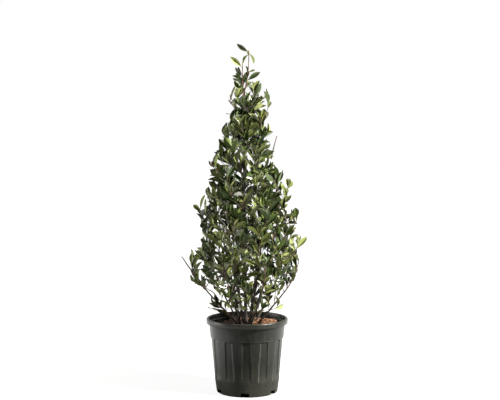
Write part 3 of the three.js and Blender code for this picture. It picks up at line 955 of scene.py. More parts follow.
def form_of(piece):
    """A modelled form's points, corners and face sizes, to copy it many times; its object goes."""
    mesh = piece.data
    points = np.zeros(len(mesh.vertices) * 3)
    loops = np.zeros(len(mesh.loops), int)
    sizes = np.zeros(len(mesh.polygons), int)
    mesh.vertices.foreach_get("co", points)
    mesh.loops.foreach_get("vertex_index", loops)
    mesh.polygons.foreach_get("loop_total", sizes)
    bpy.data.objects.remove(piece)
    return points.reshape(-1, 3), loops, sizes


class Heap:
    """Many small shapes gathered into one mesh."""

    def __init__(self):
        self.points, self.loops, self.sizes = [], [], []
        self.count = 0

    def add(self, points, loops, sizes):
        self.points.append(np.asarray(points, float))
        self.loops.append(np.asarray(loops, int) + self.count)
        self.sizes.append(np.asarray(sizes, int))
        self.count += len(points)

    def copy(self, form, origin, axes):
        """Adds a modelled form at an origin, along three axes."""
        points, loops, sizes = form
        self.add(origin + points @ np.array(axes), loops, sizes)

    def tube(self, line, radii, sides):
        """Adds a closed tapering tube along a line of points."""
        count = len(line)
        across = None
        points, loops = [], []
        for i, centre in enumerate(line):
            along = unit(line[min(count - 1, i + 1)] - line[max(0, i - 1)])
            if across is None:
                across = off_line(along)
            across = unit(across - along * across.dot(along))
            aside = np.cross(along, across)
            for k in range(sides):
                turn = 2 * math.pi * k / sides
                points.append(centre + (across * math.cos(turn) + aside * math.sin(turn)) * radii[i])
        for i in range(count - 1):
            for k in range(sides):
                a = i * sides + k
                b = i * sides + (k + 1) % sides
                loops += [a, b, b + sides, a + sides]
        loops += list(range(sides - 1, -1, -1))
        loops += [(count - 1) * sides + k for k in range(sides)]
        self.add(points, loops, [4] * ((count - 1) * sides) + [sides, sides])

    def piece(self):
        """One object that holds all the shapes, in metres."""
        points = np.concatenate(self.points) * MM
        loops = np.concatenate(self.loops)
        sizes = np.concatenate(self.sizes)
        mesh = bpy.data.meshes.new("heap")
        mesh.vertices.add(len(points))
        mesh.vertices.foreach_set("co", points.ravel())
        mesh.loops.add(len(loops))
        mesh.loops.foreach_set("vertex_index", loops)
        mesh.polygons.add(len(sizes))
        mesh.polygons.foreach_set("loop_start", np.concatenate(([0], np.cumsum(sizes)[:-1])))
        mesh.update(calc_edges=True)
        piece = bpy.data.objects.new("heap", mesh)
        bpy.context.scene.collection.objects.link(piece)
        return piece


# Finishes


class Nodes:
    """A shader tree, built up one node at a time."""

    def __init__(self, tree):
        self.tree = tree

    def feed(self, node, inputs):
        """Sets a node's inputs to values or to other nodes' outputs."""
        for name, value in inputs.items():
            if isinstance(value, bpy.types.NodeSocket):
                self.tree.links.new(value, node.inputs[name])
            else:
                node.inputs[name].default_value = value

    def node(self, kind, output, inputs=None, **settings):
        """Adds a node and gives one of its outputs."""
        made = self.tree.nodes.new(f"ShaderNode{kind}")
        for name, value in settings.items():
            setattr(made, name, value)
        self.feed(made, inputs or {})
        return made.outputs[output]

    def span(self, source, low, high, from_low=0.3, from_high=0.7):
        """A pattern's value brought to run between two others."""
        ends = {"From Min": from_low, "From Max": from_high, "To Min": low, "To Max": high}
        return self.node("MapRange", "Result", {"Value": source, **ends})


class Finish(Nodes):
    """A material, built up one pattern at a time: its plain colour, roughness and shine come first."""

    def __init__(self, name, base, roughness, specular):
        self.material = bpy.data.materials.get(name) or bpy.data.materials.new(name)
        self.material.use_nodes = True
        self.material.diffuse_color = (*base, 1)
        super().__init__(self.material.node_tree)
        self.tree.nodes.clear()
        self.shader = self.tree.nodes.new("ShaderNodeBsdfPrincipled")
        plain = {"Base Color": (*base, 1), "Roughness": roughness, "Specular IOR Level": specular}
        self.feed(self.shader, plain)
        output = self.tree.nodes.new("ShaderNodeOutputMaterial")
        self.feed(output, {"Surface": self.shader.outputs["BSDF"]})
        self.place = self.node("TexCoord", "Object")

    def stretched(self, scale):
        """The object's own coordinates, squeezed by a scale along each axis."""
        return self.node("Mapping", "Vector", {"Vector": self.place, "Scale": scale})

    def noise(self, scale, detail=3.0, roughness=0.55, vector=None):
        grain = {"Scale": scale, "Detail": detail, "Roughness": roughness}
        return self.node("TexNoise", "Fac", {"Vector": vector or self.place, **grain})

    def ramp(self, source, *stops):
        """Colours at stops from 0 to 1, by a pattern's value."""
        made = self.tree.nodes.new("ShaderNodeValToRGB")
        elements = made.color_ramp.elements
        while len(elements) < len(stops):
            elements.new(0.5)
        for element, (place, colour) in zip(elements, stops):
            element.position = place
            element.color = (*colour, 1)
        self.feed(made, {"Fac": source})
        return made.outputs["Color"]

    def blend(self, factor, first, second):
        return self.node("Mix", 2, {"Factor": factor, 6: first, 7: second}, data_type="RGBA")

    def times(self, first, second):
        return self.node("Math", "Value", {0: first, 1: second}, operation="MULTIPLY")

    def axis(self, name):
        return self.node("SeparateXYZ", name, {"Vector": self.place})

    def done(self, pattern, strength, depth, **inputs):
        """The material, bumped by a pattern, with its shader's other inputs."""
        bump = {"Height": pattern, "Strength": strength, "Distance": depth}
        self.feed(self.shader, {"Normal": self.node("Bump", "Normal", bump)})
        self.feed(self.shader, {name.replace("_", " "): value for name, value in inputs.items()})
        return self.material


def leaf_finish(kind, base):
    """Leathery leaf: one plain colour for a spray, a waxy shine, and a faint quilting of veins."""
    finish = Finish(f"leaf_{kind}", base, 0.27, 0.5)
    shine = finish.span(finish.noise(140), 0.18, 0.34)
    return finish.done(finish.noise(420, 2), 0.22, 0.0006, Roughness=shine)


def old_bark_finish():
    """Dark smooth bark with pale pores and shallow cracks that run along it."""
    finish = Finish("old_bark", (0.05, 0.035, 0.027), 0.8, 0.35)
    cracks = finish.noise(420, 6, 0.62, finish.stretched((1, 1, 0.28)))
    tones = (0.32, (0.006, 0.0045, 0.004)), (0.55, (0.021, 0.015, 0.011)), (0.75, (0.06, 0.044, 0.033))
    bark = finish.ramp(cracks, *tones)
    patches = finish.ramp(finish.noise(38, 2), (0.4, (0.022, 0.016, 0.012)), (0.7, (0.06, 0.05, 0.04)))
    colour = finish.blend(finish.span(finish.noise(60, 2), 0.15, 0.6), bark, patches)
    rough = finish.span(cracks, 0.7, 0.92)
    return finish.done(cracks, 0.7, 0.0009, Base_Color=colour, Roughness=rough)


def twig_finish():
    """Brown wood of the sprays; young shoots get a redder finish of their own."""
    finish = Finish("twig_bark", (0.1, 0.055, 0.035), 0.7, 0.4)
    grain = finish.noise(300, 4, 0.6, finish.stretched((1, 1, 0.4)))
    tones = (0.3, (0.022, 0.013, 0.009)), (0.55, (0.06, 0.032, 0.021)), (0.8, (0.13, 0.075, 0.05))
    return finish.done(grain, 0.5, 0.0005, Base_Color=finish.ramp(grain, *tones))


def young_shoot_finish():
    """Red-brown skin of this year's shoots and of the leaves' stalks."""
    finish = Finish("young_shoot", (0.22, 0.09, 0.05), 0.5, 0.5)
    tones = (0.35, (0.062, 0.027, 0.018)), (0.6, (0.085, 0.047, 0.025)), (0.75, (0.12, 0.105, 0.042))
    colour = finish.ramp(finish.noise(45, 2), *tones)
    return finish.done(finish.noise(500, 2), 0.3, 0.0004, Base_Color=colour)


def pot_finish(base):
    """Dark recycled plastic: satin, dusty low down, with drag marks, and wear and painted highlights along
    its edges.
    """
    finish = Finish("pot_plastic", base, 0.34, 0.24)
    darker, dusted, paler = (tuple(v * share for v in base) for share in (0.6, 1.15, 2.2))
    dust = finish.noise(9, 6, 0.6)
    marks = finish.noise(70, 4, 0.7, finish.stretched((1, 1, 0.12)))
    plain = finish.ramp(marks, (0.3, darker), (0.5, base), (0.75, paler))
    dusty = finish.ramp(dust, (0.45, dusted), (0.8, POT_DUST))
    skin = finish.blend(finish.span(dust, 0.0, 0.5, 0.45, 0.8), plain, dusty)
    low = finish.span(finish.axis("Z"), 0.9, 0.0, 0.0, DUST_TOP * MM)
    speckle = finish.span(finish.noise(330, 3, 0.7), 0.2, 1.0, 0.4, 0.62)
    skin = finish.blend(finish.times(low, speckle), skin, (*POT_DUST, 1))
    # Lighter marks along the edges: partly wear, mostly painted highlight.
    wear = finish.node("Attribute", "Fac", attribute_name="wear")
    scuffs_and_highlights = finish.times(wear, finish.span(finish.noise(13, 3), 0.1, 1, 0.35, 0.65))
    colour = finish.blend(scuffs_and_highlights, skin, (*POT_WEAR_AND_HIGHLIGHT, 1))
    rough = finish.span(marks, 0.28, 0.42)
    return finish.done(finish.noise(260, 3), 0.35, 0.0007, Base_Color=colour, Roughness=rough)


def soil_finish():
    """Dark crumbly potting soil."""
    finish = Finish("potting_soil", (0.035, 0.02, 0.013), 0.95, 0.2)
    crumbs = finish.noise(230, 8, 0.7)
    lumps = finish.node("TexVoronoi", "Distance", {"Vector": finish.place, "Scale": 160})
    tones = (0.35, (0.01, 0.006, 0.004)), (0.55, (0.04, 0.022, 0.014)), (0.72, (0.12, 0.06, 0.032))
    colour = finish.ramp(crumbs, *tones)
    return finish.done(crumbs, 1.0, 0.004, Base_Color=colour, Roughness=finish.span(lumps, 0.85, 0.98))


def chip_finish(kind, dark, light):
    """Bark chip: rough fibres in two tones."""
    finish = Finish(f"chip_{kind}", light, 0.88, 0.25)
    fibres = finish.noise(260, 5, 0.65)
    return finish.done(fibres, 0.8, 0.0015, Base_Color=finish.ramp(fibres, (0.35, dark), (0.65, light)))


def floor_finish(base):
    """Matt pale studio floor, glowing for the camera alone, and towards its sides a painted glow for all
    else.
    """
    finish = Finish("studio_floor", base, 0.9, 0.1)
    away = finish.node("VectorMath", "Value", {0: finish.place}, operation="LENGTH")
    glow = finish.span(away, *FLOOR_GLOW, *GLOW_SPAN)
    clear = finish.span(away, 0, 1, (POT_FOOT_RADIUS - 5) * MM, (POT_FOOT_RADIUS - 1) * MM)
    # A painted glow towards the floor's sides, seen by all rays but the camera's.
    aside = finish.node("Math", "Value", {0: finish.axis("X")}, operation="ABSOLUTE")
    side_glow = finish.span(aside, *SIDE_GLOW, *SIDE_SPAN)
    seen = finish.node("LightPath", "Is Camera Ray")
    light = finish.span(seen, side_glow, finish.times(glow, clear), 0, 1)
    white = (1, 1, 1, 1)
    return finish.done(finish.noise(30, 2), 0.02, 0.002, Emission_Color=white, Emission_Strength=light)


# Sizes and colours that a user would change


LENGTH = {"subtype": "DISTANCE", "unit": "LENGTH"}
SHARE = {"subtype": "FACTOR"}
POWER = {"unit": "POWER"}


def number(name, description, default, low, high, **kind):
    return bpy.props.FloatProperty(
        name=name, description=description, default=default, min=low, max=high, **kind
    )


def colour(name, description, default):
    return bpy.props.FloatVectorProperty(
        name=name, description=description, default=default, size=3, min=0, max=1, subtype="COLOR"
    )


class PhotiniaLeaves(bpy.types.PropertyGroup):
    leaf_length: number("Leaf length", "Length of a full-grown leaf's blade", 0.048, 0.02, 0.12, **LENGTH)
    leaf_width: number("Leaf width", "Width of a leaf as a share of its length", 0.34, 0.2, 0.6, **SHARE)
    # Deep and forest green go more often to sprays low in the crown and to its heart, as painted shade.
    deep: colour("Deep green", "Old leaves low in the crown", (0.019, 0.029, 0.007))
    forest: colour("Forest green", "Old leaves with a bluer tone", (0.034, 0.052, 0.013))
    olive: colour("Olive green", "Full-grown leaves with a browner tone", (0.064, 0.075, 0.02))
    mid: colour("Mid green", "Full-grown leaves", (0.064, 0.089, 0.021))
    light: colour("Light green", "Leaves of this year", (0.128, 0.152, 0.046))
    fresh: colour("Fresh green", "Youngest leaves, yellow-green", (0.18, 0.203, 0.072))
    pale: colour("Pale green", "Leaves that show a dull pale side", (0.17, 0.2, 0.085))
    young: colour("Bronze", "Red-brown leaves at the shoots' tips", (0.085, 0.068, 0.03))


class PhotiniaPot(bpy.types.PropertyGroup):
    plastic: colour("Plastic", "Colour of the pot's plastic", (0.0068, 0.0077, 0.0053))
    chip_count: bpy.props.IntProperty(
        name="Bark chips", description="How many bark chips lie on the soil", default=900, min=0, max=2000
    )


class PhotiniaStudio(bpy.types.PropertyGroup):
    distance: number("Camera distance", "From the camera to the pot's axis, level", 3.55, 1, 10, **LENGTH)
    height: number("Camera height", "Height of the camera over the floor", 0.87, 0, 5, **LENGTH)
    aside: number("Camera offset", "How far right of the axis the camera stands", 0.01, -1, 1, **LENGTH)
    pitch: number(
        "Camera pitch", "How far the camera is tipped down", math.radians(3.4), -1, 1.5,
        subtype="ANGLE", unit="ROTATION",
    )
    lens: number("Lens", "Focal length on a sensor 36 mm wide", 74.9, 10, 300, unit="CAMERA")
    floor: colour("Floor", "Colour of the studio floor", (0.13, 0.13, 0.13))
    key_power: number("Key light", "Power of the small lamp at the upper right", 770, 0, 1000, **POWER)
    fill_power: number("Fill light", "Power of the large lamp at the left", 80, 0, 1000, **POWER)
    backdrop: number("Backdrop", "Light from the white backdrop behind the plant", 0.9, 0, 5, **SHARE)
    surround: number("Surround", "Light from the studio in front of the plant", 0.02, 0, 5, **SHARE)


# Leaves, twigs and buds


def model_leaf(fold, droop, wave):
    """One leaf, a unit long and wide: folded along its midrib, arched, and thick as leather."""
    nothing_selected()
    bpy.ops.mesh.primitive_grid_add(x_subdivisions=LEAF_ROWS, y_subdivisions=2, size=1)
    leaf = start_shaping()
    for row in range(LEAF_ROWS + 1):
        share = row / LEAF_ROWS
        x = share - 0.5
        wide = max(0.06, math.sin(math.pi * share**1.15) ** 0.85)
        squeeze(lambda v: abs(v.co.x - x) < TINY, (1, wide, 1), (x, 0, 0))
        bpy.ops.transform.translate(value=(0, 0, -droop * share**2 + 0.35 * droop * share))
        for side in (-1, 1):
            pick(lambda v: abs(v.co.x - x) < TINY and v.co.y * side > TINY)
            ripple = wave * math.sin(2.2 * math.pi * share + side)
            bpy.ops.transform.translate(value=(0, 0, fold * wide * 0.5 + ripple * wide))
    bpy.ops.mesh.select_all(action="SELECT")
    bpy.ops.transform.translate(value=(0.5, 0, 0))
    bpy.ops.object.mode_set(mode="OBJECT")
    body = leaf.modifiers.new("body", "SOLIDIFY")
    body.thickness = LEAF_THICKNESS
    body.offset = -1
    apply_all(leaf)
    return leaf


class PHOTINIA_OT_leaves(bpy.types.Operator):
    """Grow the leaves, joined into one piece for each green"""

    bl_idname = "photinia.leaves"
    bl_label = "Leaves"

    def execute(self, context):
        looks = context.scene.photinia_leaves
        forms = [form_of(model_leaf(*form)) for form in LEAF_FORMS]
        heaps = {kind: Heap() for kind in LEAF_KINDS}
        for i, leaf in enumerate(grown_crown().leaves):
            side = np.cross(leaf.top, leaf.out)
            width = leaf.size * looks.leaf_width * ranged(LEAF_WIDTHS, leaf.chance)
            axes = (leaf.out * leaf.size, side * width, leaf.top * leaf.size)
            heaps[leaf.kind].copy(forms[i % len(forms)], leaf.root, axes)
        for kind, heap in heaps.items():
            if not heap.count:
                raise RuntimeError(f"no leaf is {kind}")
            material = leaf_finish(kind, tuple(getattr(looks, kind)))
            finish_piece(heap.piece(), f"leaves_{kind}", material, MASS_NODES, 50)
        return {"FINISHED"}


class PHOTINIA_OT_twigs(bpy.types.Operator):
    """Grow the sprays' stems, their twigs, the young shoots and the leaves' stalks"""

    bl_idname = "photinia.twigs"
    bl_label = "Twigs"

    def execute(self, context):
        growth = grown_crown()
        heaps = {"spray_twigs": Heap(), "young_shoots": Heap(), "leaf_stalks": Heap()}
        for line, thick, thin, woody in growth.shoots:
            last = len(line) - 1
            radii = [thick + (thin - thick) * i / last for i in range(last + 1)]
            heaps["spray_twigs" if woody else "young_shoots"].tube(line, radii, 6 if woody else 5)
        for leaf in growth.leaves:
            root = leaf.root + leaf.out * STALK_UNDER
            sag = (leaf.node + root) / 2 - UP * 0.5
            heaps["leaf_stalks"].tube([leaf.node, sag, root], STALK_RADII, 4)
        for name, heap in heaps.items():
            material = twig_finish() if name == "spray_twigs" else young_shoot_finish()
            finish_piece(heap.piece(), name, material, MASS_NODES, 60)
        return {"FINISHED"}


def model_bud():
    """One bud, a unit long: a cone drawn in at its foot and pointed at its tip."""
    nothing_selected()
    bpy.ops.mesh.primitive_cylinder_add(vertices=6, radius=0.2, depth=1, location=(0, 0, 0.5))
    bud = start_shaping()
    bpy.ops.mesh.bisect(plane_co=(0, 0, 0.4), plane_no=(0, 0, 1))
    squeeze(lambda v: abs(v.co.z - 0.4) < TINY, (1.35, 1.35, 1), (0, 0, 0.4))
    squeeze(lambda v: v.co.z > 1 - TINY, (0.15, 0.15, 1), (0, 0, 1))
    close_shape()
    return bud


class PHOTINIA_OT_buds(bpy.types.Operator):
    """Set a bud on the end of every shoot"""

    bl_idname = "photinia.buds"
    bl_label = "Buds"

    def execute(self, context):
        bud = form_of(model_bud())
        heap = Heap()
        random = seeded(BUD_SEED)
        for tip, along in grown_crown().tips:
            across = unit(np.cross(along, off_line(along)))
            axes = np.array((across, np.cross(along, across), along)) * ranged(BUD_LENGTHS, random())
            heap.copy(bud, tip - along * BUD_SUNK, axes)
        finish_piece(heap.piece(), "buds", young_shoot_finish(), MASS_NODES, 60)
        return {"FINISHED"}


# Bark


def bark_radius(limb, share, height_above):
    """A stem's radius at a share of its length, with a root flare and a swelling at each old bud."""
    end = max(TIP_RADIUS, limb.thick * TIP_TAPER)
    plain = limb.thick + (end - limb.thick) * share
    flare = (ROOT_FLARE - 1) * limb.thick * math.exp(-height_above / FLARE_FADE)
    beat = (height_above / KNOT_STEP + limb.azimuth / 60) % 1
    knot = KNOT_RISE * math.exp(-(((beat - 0.5) * KNOT_STEP) ** 2) / KNOT_SPREAD)
    return plain + flare + knot


def model_limb(limb):
    """A limb's plain shape: a ring set square to it, drawn out step by step along its line."""
    line = smooth_line(stem_line(limb), 1)
    line = smooth_line(line, max(2, round(np.linalg.norm(line[1] - line[0]) / LIMB_STEP)))
    line = [line[0] - UP * LIMB_SUNK, *line]
    length = length_of(line)
    radius = bark_radius(limb, 0, 0)
    nothing_selected()
    bpy.ops.mesh.primitive_circle_add(
        vertices=LIMB_SIDES,
        radius=radius * MM,
        fill_type="NGON",
        location=line[0] * MM,
        rotation=Vector(line[-1] - line[0]).to_track_quat("Z", "Y").to_euler(),
    )
    piece = start_shaping()
    along = 0.0
    for here, there in zip(line, line[1:]):
        along += np.linalg.norm(there - here)
        next_radius = bark_radius(limb, along / length, max(0.0, along - LIMB_SUNK))
        grow = next_radius / radius
        draw_out((there - here) * MM, (grow, grow, grow), there * MM)
        radius = next_radius
    close_shape()
    return piece


class PHOTINIA_OT_bark(bpy.types.Operator):
    """Model every stem and bough with its bark's relief"""

    bl_idname = "photinia.bark"
    bl_label = "Stems and boughs"

    def execute(self, context):
        material = old_bark_finish()
        relief = clouds("bark_relief", 0.005, 3)
        for limb in STEMS:
            piece = model_limb(limb)
            finer = piece.modifiers.new("finer", "SUBSURF")
            finer.levels = 1
            finer.render_levels = 1
            roughen(piece, relief, strength=0.0011, mid_level=0.5)
            finish_piece(piece, f"bark_{limb.name}", material, [limb.name], 60)
        return {"FINISHED"}


# Pot


def pot_rows():
    """The pot's section as radius and height: from its boss out, up the wall and down inside."""
    foot_wall = POT_FOOT_RADIUS + 2
    slope = (POT_RADIUS - LIP_WIDTH - foot_wall) / COLLAR_TOP
    lip_foot = POT_HEIGHT - LIP_HEIGHT
    collar_top = lip_foot - LIP_SLOPE
    arch_foot = FLUTE_TOP - FLUTE_ARCH
    lip_middle = POT_RADIUS - LIP_ROUND

    def wall_at(height, step=0.0):
        return foot_wall + slope * height - step * COLLAR_STEP

    def stepping_in(foot, top, first, count):
        for k in range(1, count + 1):
            height = foot + (top - foot) * k / count
            yield wall_at(height, first + 0.4 * (height - foot) / (top - foot)), height

    def rounded(k):
        turn = math.pi * k / 6
        return lip_middle + LIP_ROUND * math.cos(turn), POT_HEIGHT - LIP_ROUND + LIP_ROUND * math.sin(turn)

    foot_slope = (wall_at(FLUTE_FOOT, 0.2) - POT_FOOT_RADIUS) / (FLUTE_FOOT - 3)
    return [
        (BASE_BOSS_RADIUS, 0),
        (BASE_BOSS_RADIUS + BASE_RECESS, BASE_RECESS),
        (BASE_RING_RADIUS - BASE_RECESS, BASE_RECESS),
        (BASE_RING_RADIUS, 0),
        (POT_FOOT_RADIUS - 3, 0),
        (POT_FOOT_RADIUS - 1, 0.8),
        (POT_FOOT_RADIUS, 3),
        *((POT_FOOT_RADIUS + foot_slope * (h - 3), h) for h in (8, 14, 20, 27, 34, 41, FLUTE_FOOT)),
        *stepping_in(FLUTE_FOOT, FLUTE_FULL, 0.2, 5),
        *stepping_in(FLUTE_FULL, arch_foot, 0.6, 4),
        *((wall_at(COLLAR_FOOT, 1), arch_foot + FLUTE_ARCH * k / 6) for k in range(1, 7)),
        (wall_at(COLLAR_FOOT, 0.9), COLLAR_FOOT - 1.6),
        (wall_at(COLLAR_FOOT, 0.15), COLLAR_FOOT - 0.8),
        (wall_at(COLLAR_FOOT), COLLAR_FOOT),
        (wall_at(COLLAR_FOOT + 3), COLLAR_FOOT + 3),
        (wall_at(collar_top - 2), collar_top - 2),
        (wall_at(collar_top) + 0.8, collar_top),
        (POT_RADIUS - 1.6, lip_foot - 1),
        (POT_RADIUS - 0.4, lip_foot),
        (POT_RADIUS, lip_foot + 1.6),
        *(rounded(k) for k in range(7)),
        (POT_RADIUS - 2 * LIP_ROUND - 0.8, lip_foot + 2),
        (wall_at(lip_foot) - POT_WALL, lip_foot - 2),
        (wall_at(COLLAR_FOOT) - POT_WALL, COLLAR_FOOT),
        (wall_at(COLLAR_FOOT, 1) - POT_WALL - FLUTE_DEPTH, COLLAR_FOOT - 6),
        (wall_at(FLUTE_FULL, 1) - POT_WALL - FLUTE_DEPTH, FLUTE_FULL),
        (POT_FOOT_RADIUS - POT_WALL, POT_FLOOR),
    ]


def off_flute(place):
    """How many degrees a place on the pot's wall lies past the middle of the nearest flute."""
    turn = 360 / FLUTES
    azimuth = math.degrees(math.atan2(place.y, place.x)) + 90 - FLUTE_TURN
    return (azimuth + turn / 2) % turn - turn / 2


def flute_share(place):
    """How much of its depth a flute has at a place on the pot's outer wall: less than none on a bead."""
    height = place.z / MM
    if not FLUTE_FOOT < height < FLUTE_TOP:
        return 0.0
    half = np.interp(height, (FLUTE_FULL, FLUTE_TOP), FLUTE_HALVES)
    over = max(0.0, height - (FLUTE_TOP - FLUTE_ARCH))
    half *= math.sqrt(max(0.0, 1 - (over / FLUTE_ARCH) ** 2))
    fade = min(1.0, (height - FLUTE_FOOT) / (FLUTE_FULL - FLUTE_FOOT))
    within = half - abs(off_flute(place))
    if -BEAD_WIDTH < within <= 0:
        return -BEAD_SHARE * fade
    return min(1.0, max(0.0, within / FLUTE_SLOPE)) * math.sin(fade * math.pi / 2)


def cut_flutes(rows):
    """In edit mode, draws the flutes in, row by row and step by step of their depth."""
    for radius, height in rows:
        if not FLUTE_FOOT < height < FLUTE_TOP or radius < POT_FOOT_RADIUS + 3:
            continue
        steps = {}
        for vertex in bmesh.from_edit_mesh(bpy.context.object.data).verts:
            out = math.hypot(vertex.co.x, vertex.co.y) / MM
            if abs(vertex.co.z / MM - height) < 0.01 and abs(out - radius) < 0.01:
                steps.setdefault(round(flute_share(vertex.co), 2), set()).add(vertex.index)
        steps.pop(0, None)
        for share, members in steps.items():
            shrink = 1 - FLUTE_DEPTH * share / radius
            squeeze(lambda v: v.index in members, (shrink, shrink, 1), (0, 0, height * MM))


def cut_notches(pot):
    """Cuts the drain notches out of the foot's edge."""
    for i in range(DRAIN_NOTCHES):
        azimuth = math.radians(-90 + NOTCH_TURN + i * 360 / DRAIN_NOTCHES)
        reach = (POT_FOOT_RADIUS + 4 - NOTCH_DEPTH / 4) * MM
        nothing_selected()
        bpy.ops.mesh.primitive_cube_add(
            size=1,
            location=(math.cos(azimuth) * reach, math.sin(azimuth) * reach, 0),
            rotation=(0, 0, azimuth),
            scale=(NOTCH_DEPTH * MM, NOTCH_WIDTH * MM, 2 * NOTCH_HEIGHT * MM),
        )
        cutter = start_shaping()
        bpy.ops.mesh.bevel(offset=3 * MM, segments=3)
        close_shape()
        notch = pot.modifiers.new("notch", "BOOLEAN")
        notch.operation = "DIFFERENCE"
        notch.object = cutter
        apply_all(pot)
        bpy.data.objects.remove(cutter)


def paint_wear_and_highlights(pot):
    """Marks painted highlights, and wear on the lip: on the beads beside the flutes, the lip and the
    collar's foot.
    """
    wear = pot.data.attributes.new("wear", "FLOAT", "POINT")
    for vertex, mark in zip(pot.data.vertices, wear.data):
        # Painted highlights on the beads: full on each flute's near edge, dimmer on its far edge, none in
        # front.
        if flute_share(vertex.co) < 0:
            in_front = abs(vertex.co.x) < FRONT_FLUTE_REACH * MM and vertex.co.y < 0
            far_edge = off_flute(vertex.co) * vertex.co.x > 0
            mark.value = 0 if in_front else FAR_EDGE_HIGHLIGHT if far_edge else 1
        # The lip's top is marked lighter: wear and a painted highlight.
        if vertex.co.z > (POT_HEIGHT - 1) * MM:
            mark.value = LIP_WEAR_AND_HIGHLIGHT
        # A painted highlight along the collar's foot.
        if abs(vertex.co.z / MM - COLLAR_FOOT + 0.4) < 0.6:
            mark.value = COLLAR_HIGHLIGHT


class PHOTINIA_OT_pot(bpy.types.Operator):
    """Model the nursery pot with its lip, collar, flutes and drain notches"""

    bl_idname = "photinia.pot"
    bl_label = "Pot"

    def execute(self, context):
        rows = pot_rows()
        pot = lathe(rows, POT_SIDES)
        cut_flutes(rows)
        close_shape()
        cut_notches(pot)
        paint_wear_and_highlights(pot)
        material = pot_finish(tuple(context.scene.photinia_pot.plastic))
        finish_piece(pot, "nursery_pot", material, ["pot"], 32)
        return {"FINISHED"}


# Soil and bark chips


def soil_height(distance):
    """The soil's height at a distance from the pot's axis."""
    share = max(0.0, (distance - SOIL_MOUND_RADIUS) / (SOIL_RADIUS - SOIL_MOUND_RADIUS))
    return SOIL_TOP - 1 - (SOIL_TOP - SOIL_EDGE) * min(1.0, share) ** 0.8


class PHOTINIA_OT_soil(bpy.types.Operator):
    """Fill the pot with crumbly soil"""

    bl_idname = "photinia.soil"
    bl_label = "Soil"

    def execute(self, context):
        foot_radius = POT_FOOT_RADIUS - POT_WALL - FLUTE_DEPTH
        rings = [SOIL_RADIUS * (1 - k / SOIL_RINGS) for k in range(1, SOIL_RINGS)]
        rows = [
            (foot_radius - NOTCH_DEPTH / 2, POT_FLOOR + GAP),
            (foot_radius - NOTCH_DEPTH / 2, 2 * NOTCH_HEIGHT),
            (foot_radius + 1, 2 * NOTCH_HEIGHT + 4),
            (SOIL_RADIUS - 12, COLLAR_FOOT - 14),
            (SOIL_RADIUS - 4, COLLAR_FOOT + 4),
            (SOIL_RADIUS - 0.5, SOIL_EDGE - 1.5),
            *((distance, soil_height(distance)) for distance in rings),
        ]
        soil = lathe(rows, SOIL_SIDES)
        close_shape()
        high = [v.index for v in soil.data.vertices if v.co.z > (SOIL_EDGE - 1) * MM]
        soil.vertex_groups.new(name="top").add(high, 1.0, "REPLACE")
        crumbs = clouds("soil_crumbs", 0.009, 4)
        roughen(soil, crumbs, direction="Z", vertex_group="top", strength=0.008, mid_level=0.6)
        finish_piece(soil, "potting_soil", soil_finish(), ["soil"], 70)
        return {"FINISHED"}


def model_chip():
    """One bark chip, a unit long: a splintered slab, thinner at its ends."""
    nothing_selected()
    bpy.ops.mesh.primitive_cube_add(size=1)
    chip = start_shaping()
    bpy.ops.mesh.bisect(plane_co=(0.1, 0, 0), plane_no=(1, 0.35, 0))
    bpy.ops.mesh.select_all(action="SELECT")
    bpy.ops.mesh.bisect(plane_co=(-0.22, 0, 0), plane_no=(1, -0.2, 0.1))
    squeeze(lambda v: v.co.x > 0.49, (1, 0.45, 0.5), (0.5, 0.12, 0))
    squeeze(lambda v: v.co.x < -0.49, (1, 0.65, 0.4), (-0.5, -0.1, 0))
    close_shape()
    return chip


class PHOTINIA_OT_mulch(bpy.types.Operator):
    """Strew bark chips over the soil"""

    bl_idname = "photinia.mulch"
    bl_label = "Bark chips"

    def execute(self, context):
        chip = form_of(model_chip())
        heaps = {kind: Heap() for kind in CHIP_KINDS}
        random = seeded(CHIP_SEED)
        for _ in range(context.scene.photinia_pot.chip_count):
            side = heading(360 * random())
            distance = (SOIL_RADIUS - 12) * math.sqrt(random())
            length = ranged(CHIP_LENGTHS, random() ** 1.8)
            wide = length * ranged(CHIP_WIDTHS, random())
            thick = ranged(CHIP_HEIGHTS, random())
            lit = 0.5 + 0.5 * side.dot(heading(LIT_SIDE))
            heap = CHIP_HEAP * max(0.0, 2 * lit - 1) * min(1.0, distance / SOIL_MOUND_RADIUS)
            height = soil_height(distance) + thick * 0.4 + (1.5 + heap) * random()
            along = heading(360 * random(), 24 * (random() - 0.5))
            across = unit(np.cross(UP + heading(360 * random()) * 0.25 * random(), along))
            axes = (along * length, across * wide, np.cross(along, across) * thick)
            # Painted light and shade: chips on the lit side are mostly drawn lit orange, those away from it
            # dark.
            draw = random()
            orange = 0.9 * max(0.0, lit - 0.4) / 0.6
            kind = "orange" if draw < orange else "brown" if draw < orange + 0.35 * lit else "dark"
            heaps[kind].copy(chip, at_height(side * distance, height), axes)
        for kind, heap in heaps.items():
            material = chip_finish(kind, *CHIP_KINDS[kind])
            finish_piece(heap.piece(), f"bark_chips_{kind}", material, ["soil"], 25)
        return {"FINISHED"}


# Studio


def soft_light(name, place, aim, size, power):
    light = bpy.data.lights.new(name, "AREA")
    light.shape = "SQUARE"
    light.size = size
    light.energy = power
    light.color = LAMP_COLOUR
    lamp = bpy.data.objects.new(name, light)
    lamp.location = place
    lamp.rotation_euler = (Vector(aim) - Vector(place)).to_track_quat("-Z", "Y").to_euler()
    bpy.context.scene.collection.objects.link(lamp)


